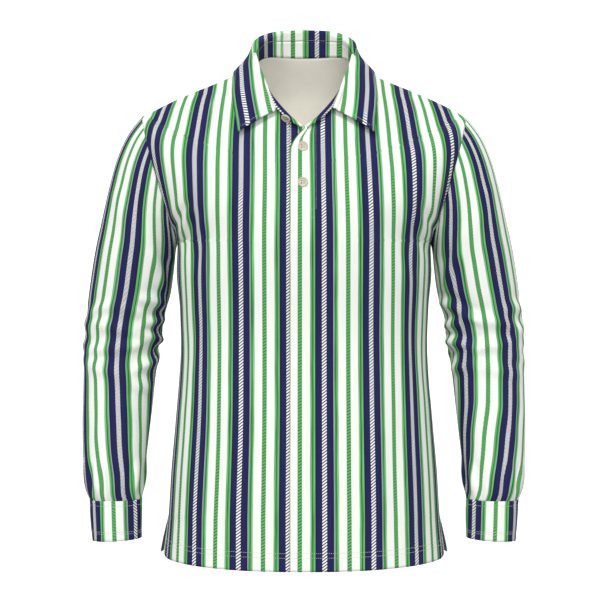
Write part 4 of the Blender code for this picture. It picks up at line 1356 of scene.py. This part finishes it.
# %% [markdown]
# ## Stitching
# The hem, the cuffs, the placket and the collar's edge are topstitched. A stitch is a short thread
# that lies on the cloth and dives in at both ends, so each one is a small spindle. They are laid
# along lines picked from the cloth's own points, so they follow its folds.

# %% A line of stitches
STITCH_PITCH, STITCH_LENGTH, STITCH_HALF = 3.0, 2.3, 0.27


def stitches(name, lines):
    """One piece of short threads along lines of points, each with the directions out of the cloth."""
    sewing, few = bmesh.new(), bpy.data.meshes.new("few_stitches")
    size = Matrix.Diagonal((STITCH_HALF * MM, STITCH_HALF * MM, STITCH_LENGTH * MM / 2, 1))
    for points, out in lines:
        walked = walk(points)
        count = max(1, int(walked[-1] / STITCH_PITCH))
        for group in np.array_split((np.arange(count) + 0.5) * walked[-1] / count, count // 20 + 1):
            run = bmesh.new()
            for at in group:
                ends = [points_at(at + step, walked, points)
                        for step in (-STITCH_LENGTH / 2, STITCH_LENGTH / 2)]
                above = unit(points_at(at, walked, out))
                middle = Vector(((ends[0] + ends[1]) / 2 + above * STITCH_HALF * 0.5) * MM)
                turned = Vector(ends[1] - ends[0]).to_track_quat("Z", "Y").to_matrix().to_4x4()
                bmesh.ops.create_uvsphere(run, u_segments=6, v_segments=4, radius=1.0,
                                          matrix=Matrix.Translation(middle) @ turned @ size)
            run.to_mesh(few)
            run.free()
            sewing.from_mesh(few)
    bpy.data.meshes.remove(few)
    return finished(name, sewing, [thread])

# %% Lines to sew along
def row_line(points, out, height, first=0, last=None):
    """A line across a grid at a height above its first row."""
    up = lengths(points, 0)
    line, away = (np.array([points_at(height, up[:, j], grid[:, j])
                            for j in range(points.shape[1])[first:last]]) for grid in (points, out))
    return line, unit(away)


def column_line(points, out, distance, from_last=False, rows=slice(None)):
    """A line up a grid at a distance from its first or last column."""
    if from_last:
        points, out = points[:, ::-1], out[:, ::-1]
    line, away = row_line(points.transpose(1, 0, 2), out.transpose(1, 0, 2), distance)
    return line[rows], away[rows]

# %% Tape and stitching of the body
HEM_ROWS = (19.5, 26.0)
TAPE_ENDS_AT = 0.17        # the station where the tape ends, just over the vent
PLACKET_ROW_X = 16.5
PLACKET_BOX_Z = (-209.0, -219.0)


def vent_tape(name, points, out, at_last):
    """The tape along one edge of a vent, sewn to the inside of its panel."""
    if at_last:
        points, out = points[:, ::-1], out[:, ::-1]
    rows = np.flatnonzero(STATIONS < TAPE_ENDS_AT)
    in_from_edge = lengths(points, 1)
    at = np.linspace(0.5, TAPE_WIDTH, 6)
    laid, away = (np.array([points_at(at, in_from_edge[i], grid[i]) for i in rows])
                  for grid in (points, out))
    away = unit(away)
    laid = laid - away * (CLOTH + 0.5)
    places = np.stack((np.broadcast_to(at, laid.shape[:2]), lengths(laid, 0)), axis=-1) * MM
    return lay_cloth(name, laid, -away, places, (tape, tape), thickness=0.4)


def placket_lines(points, out):
    """The placket's long row of stitches and the two rows of the box at its foot."""
    above = np.flatnonzero(points[:, 20, 2] > PLACKET_BOTTOM_Z + 12)
    line, away = (np.array([points_at(PLACKET_ROW_X, points[i, :, 0], grid[i]) for i in above])
                  for grid in (points, out))
    lines = [(line, unit(away))]
    for z in PLACKET_BOX_Z:
        row = int(np.argmin(np.abs(points[:, 3, 2] - z)))
        lines.append((points[row, :12], out[row, :12]))
    return lines

# %% The body
# Each panel's flat size and the area of its cut shape, in metres
PANELS = (("front_left", (0.29, 0.72), 0.195), ("front_right", (0.262, 0.71), 0.169),
          ("back", (0.56, 0.80), 0.395))
for name, flat, area in PANELS:
    outer, out = body[name] + body_out[name] * CLOTH_OUT, body_out[name]
    piece = lay_cloth("cloth_" + name, outer, out, body_uv[name], (jersey, lining))
    sewn_on = [stitches("hem_stitches_" + name, [row_line(outer, out, height) for height in HEM_ROWS])]
    if name == "front_left":
        sewn_on.append(stitches("placket_stitches", placket_lines(outer, out)))
    for edge, at_last in (("left", True), ("right", False)):
        if name in ("back", "front_" + edge):
            sewn_on.append(vent_tape("vent_tape_" + edge + "_of_" + name, outer, out, at_last))
    dress(piece, name, sewn_on)
    print(piece.name, len(piece.data.polygons), "faces", [len(part.data.polygons) for part in sewn_on])

UNDER_THICK = 1.4          # two layers of jersey, pressed
piece = lay_cloth("cloth_placket_under", under, under_out, under_uv, (jersey, lining),
                  thickness=UNDER_THICK)
dress(piece, "placket_under")

# %% The sleeves and cuffs
CUFF_OUT, CUFF_THICK = 0.6, 2.2
CUFF_STITCH_ROWS = (7.5, 45.0, 48.0)
for word, side in SIDES.items():
    flip = (side, 1, 1)
    _, points, out, _ = sleeves[word]
    points, out = (points + out * CLOTH_OUT) * flip, out * flip
    piece = lay_cloth("cloth_sleeve_" + word, points, out, sleeve_uv[word], (jersey, lining),
                      closed=True)
    dress(piece, "sleeve_" + word)
    points, out, places = cuffs[word]
    points, out = (points + out * CUFF_OUT) * flip, out * flip
    piece = lay_cloth("cloth_cuff_" + word, points, out, places, (jersey, jersey), closed=True,
                      thickness=CUFF_THICK)
    rows = [row_line(points, out, height) for height in CUFF_STITCH_ROWS]
    sewn_on = [stitches("cuff_stitches_" + word, rows)]
    dress(piece, "cuff_" + word, sewn_on)
    print("sleeve and cuff", word)

# %% The collar
COLLAR_OUT, COLLAR_THICK = 0.8, 1.5
EDGE_ROW, SEAM_ROW = 5.0, 1.2          # stitching in from the fall's edge and over its seam
points = stand + stand_out * COLLAR_OUT
piece = lay_cloth("cloth_collar_stand", points, stand_out, stand_uv, (jersey, jersey),
                  thickness=COLLAR_THICK)
dress(piece, "collar_stand")
points = fall + fall_out * COLLAR_OUT
piece = lay_cloth("cloth_collar_leaf", points, fall_out, fall_uv, (jersey, jersey),
                  thickness=COLLAR_THICK)
rows = [row_line(points[::-1], fall_out[::-1], EDGE_ROW, 2, -2), row_line(points, fall_out, SEAM_ROW)]
for from_last in (False, True):
    rows.append(column_line(points, fall_out, EDGE_ROW, from_last, slice(10, -4)))
print("rows of stitches on the collar:", len(rows))
dress(piece, "collar_leaf", [stitches("collar_stitches", rows)])

# %% [markdown]
# ## Buttons
# A shirt button is turned: half its section is drawn as a line and spun round. Four holes are cut
# through the dish, their walls painted near-black as shade, and two bars of thread cross between
# them. Each button lies where the solid one does; the one on the neckband tips down under the rolled
# end, so that only a sliver of it shows.

# %% A turned button
# Radius and height from the middle of the back, round the rim and into the dish
BUTTON_SECTION = ((0, -1.3), (6.1, -1.3), (6.9, -0.8), (7.2, 0.1), (7.0, 0.9), (6.4, 1.35), (5.7, 1.3),
                  (5.1, 0.75), (4.4, 0.45), (0, 0.4))


def turned_button(name):
    """A four-hole button, lying flat at the origin."""
    turned = bmesh.new()
    (r, z), *rest = BUTTON_SECTION
    tip = bmesh.ops.create_vert(turned, co=(r * MM, 0, z * MM))["vert"][0]
    for r, z in rest:
        tip = bmesh.ops.extrude_vert_indiv(turned, verts=[tip])["verts"][0]
        tip.co = (r * MM, 0, z * MM)
    bmesh.ops.spin(turned, geom=turned.verts[:] + turned.edges[:], cent=(0, 0, 0), axis=(0, 0, 1),
                   angle=2 * math.pi, steps=40, use_merge=True)
    bmesh.ops.remove_doubles(turned, verts=turned.verts, dist=0.00001)
    bmesh.ops.recalc_face_normals(turned, faces=turned.faces)
    return finished(name, turned, [resin], smooth=False)

# %% Its holes
HOLE_RADIUS, HOLE_OFF, DRILL_DEPTH = 1.0, 1.75, 6.0


def cut_holes(piece):
    """Cuts the four holes, keeps the result as the piece's own mesh and paints the holes' walls dark,
    as painted shade.
    """
    drill, radius = bmesh.new(), HOLE_RADIUS * MM
    for x, y in ((-1, -1), (-1, 1), (1, -1), (1, 1)):
        middle = Matrix.Translation((x * HOLE_OFF * MM, y * HOLE_OFF * MM, 0))
        bmesh.ops.create_cone(drill, cap_ends=True, segments=14, radius1=radius, radius2=radius,
                              depth=DRILL_DEPTH * MM, matrix=middle)
    cutter = finished("drill", drill, [], smooth=False)
    cut = piece.modifiers.new("holes", "BOOLEAN")
    cut.object, cut.operation = cutter, "DIFFERENCE"
    bpy.context.view_layer.update()
    whole = piece.evaluated_get(bpy.context.evaluated_depsgraph_get())
    piece.data = bpy.data.meshes.new_from_object(whole)
    piece.modifiers.clear()
    piece.data.materials.append(hole_painted_shade)
    holes_reach = (HOLE_OFF * 1.5 + HOLE_RADIUS) * MM
    # the holes' walls take the near-black material, as painted shade
    for face in piece.data.polygons:
        if abs(face.normal.z) < 0.3 and face.center.xy.length < holes_reach:
            face.material_index = len(piece.data.materials) - 1
    drill_data = cutter.data
    bpy.data.objects.remove(cutter)
    bpy.data.meshes.remove(drill_data)

# %% Its thread
BAR_HALF, BAR_REACH, BAR_HEIGHT = 0.3, 1.5, 0.45


def thread_bars(name):
    """The two bars of thread in the dish."""
    bars = bmesh.new()
    size = Matrix.Diagonal((BAR_HALF * MM, BAR_REACH * MM, BAR_HALF * MM, 1))
    for x in (-HOLE_OFF, HOLE_OFF):
        middle = Matrix.Translation((x * MM, 0, BAR_HEIGHT * MM))
        bmesh.ops.create_uvsphere(bars, u_segments=8, v_segments=6, radius=1.0, matrix=middle @ size)
    return finished(name, bars, [thread])

# %% The buttons in their places
# Which way each button faces
BUTTON_FACES = {"button_upper": (0.0, -1.0, 0.02), "button_lower": (0.0, -1.0, 0.0),
                "button_stand": (-0.45, -0.52, -0.73)}
for node, faces in BUTTON_FACES.items():
    low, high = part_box(node)
    turn = Vector(faces).to_track_quat("Z", "Y").to_matrix().to_4x4()
    place = Matrix.Translation((low + high) / 2) @ turn
    piece, bars = turned_button("resin_" + node), thread_bars("thread_" + node)
    cut_holes(piece)
    for part in (piece, bars):
        part.data.transform(place)
        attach(part, "root")
    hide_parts(node)
    print(piece.name, len(piece.data.polygons), "faces")

# %% [markdown]
# ## Studio
# The shirt floats over a wide pale floor whose far rim turns up, so that no horizon shows from any
# side. The light is an even sky with four soft suns: the key from the upper left of the camera, a
# level one from the front, a faint fill from the right and one from behind for the back views.

# %% Floor
FLOOR_RADIUS, FLOOR_RISE, FLOOR_TOP, FLOOR_Z = 5.0, 2.5, 6.0, -1.15    # metres
FLOOR_STEPS, FLOOR_STEP = 8, math.radians(11)
floor_mesh = bmesh.new()
bmesh.ops.create_circle(floor_mesh, cap_ends=True, radius=FLOOR_RADIUS, segments=96)
rim = [e for e in floor_mesh.edges if e.is_boundary]
for step in range(1, FLOOR_STEPS + 1):
    angle = step * FLOOR_STEP
    grown = bmesh.ops.extrude_edge_only(floor_mesh, edges=rim)["geom"]
    fresh = [g for g in grown if isinstance(g, bmesh.types.BMVert)]
    rim = [g for g in grown if isinstance(g, bmesh.types.BMEdge)]
    radius = FLOOR_RADIUS + FLOOR_RISE * math.sin(angle)
    height = FLOOR_TOP if step == FLOOR_STEPS else FLOOR_RISE * (1 - math.cos(angle))
    for v in fresh:
        v.co = Vector((v.co.x, v.co.y, 0)).normalized() * radius + Vector((0, 0, height))
bmesh.ops.translate(floor_mesh, verts=floor_mesh.verts, vec=(0, 0, FLOOR_Z))
floor_paint, _, floor_shader = new_material("floor_paper", 0.95, 0.0, 0.0)
floor_shader.inputs["Base Color"].default_value = (0.94, 0.94, 0.94, 1.0)
floor_shader.inputs["Emission Color"].default_value = (1.0, 1.0, 1.0, 1.0)
floor_shader.inputs["Emission Strength"].default_value = 0.2
floor = finished("floor", floor_mesh, [floor_paint])
floor.visible_shadow = False
floor.visible_diffuse = False
floor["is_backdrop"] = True
print("floor with", len(floor.data.polygons), "faces")

# %% Light
bpy.context.scene.view_settings.view_transform = "Standard"
world = bpy.data.worlds.new("sky")
world.use_nodes = True
sky = world.node_tree.nodes["Background"]
sky.inputs["Color"].default_value = (1.0, 1.0, 1.0, 1.0)
sky.inputs["Strength"].default_value = 0.42
bpy.context.scene.world = world
# Each sun's turn in degrees, its strength and how wide it is in degrees
SUNS = (
    ("key", (42, 0, -15), 2.0, 16),
    ("front", (86, 0, 4), 0.85, 22),
    ("fill", (60, 0, 50), 0.10, 80),
    ("back", (66, 0, 170), 1.6, 60),
)
for name, turn, strength, angle in SUNS:
    sun = bpy.data.lights.new(name, "SUN")
    sun.energy = strength
    sun.angle = math.radians(angle)
    lamp = bpy.data.objects.new(name, sun)
    lamp.rotation_euler = [math.radians(a) for a in turn]
    bpy.context.scene.collection.objects.link(lamp)
print("suns:", [name for name, *_ in SUNS])

# %% [markdown]
# ## Size
# The box of the dressed shirt is worked out and printed.

# %% The size of the dressed shirt
low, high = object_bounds()
print("visual box in mm:", [round((b - a) / MM, 1) for a, b in zip(low, high)])
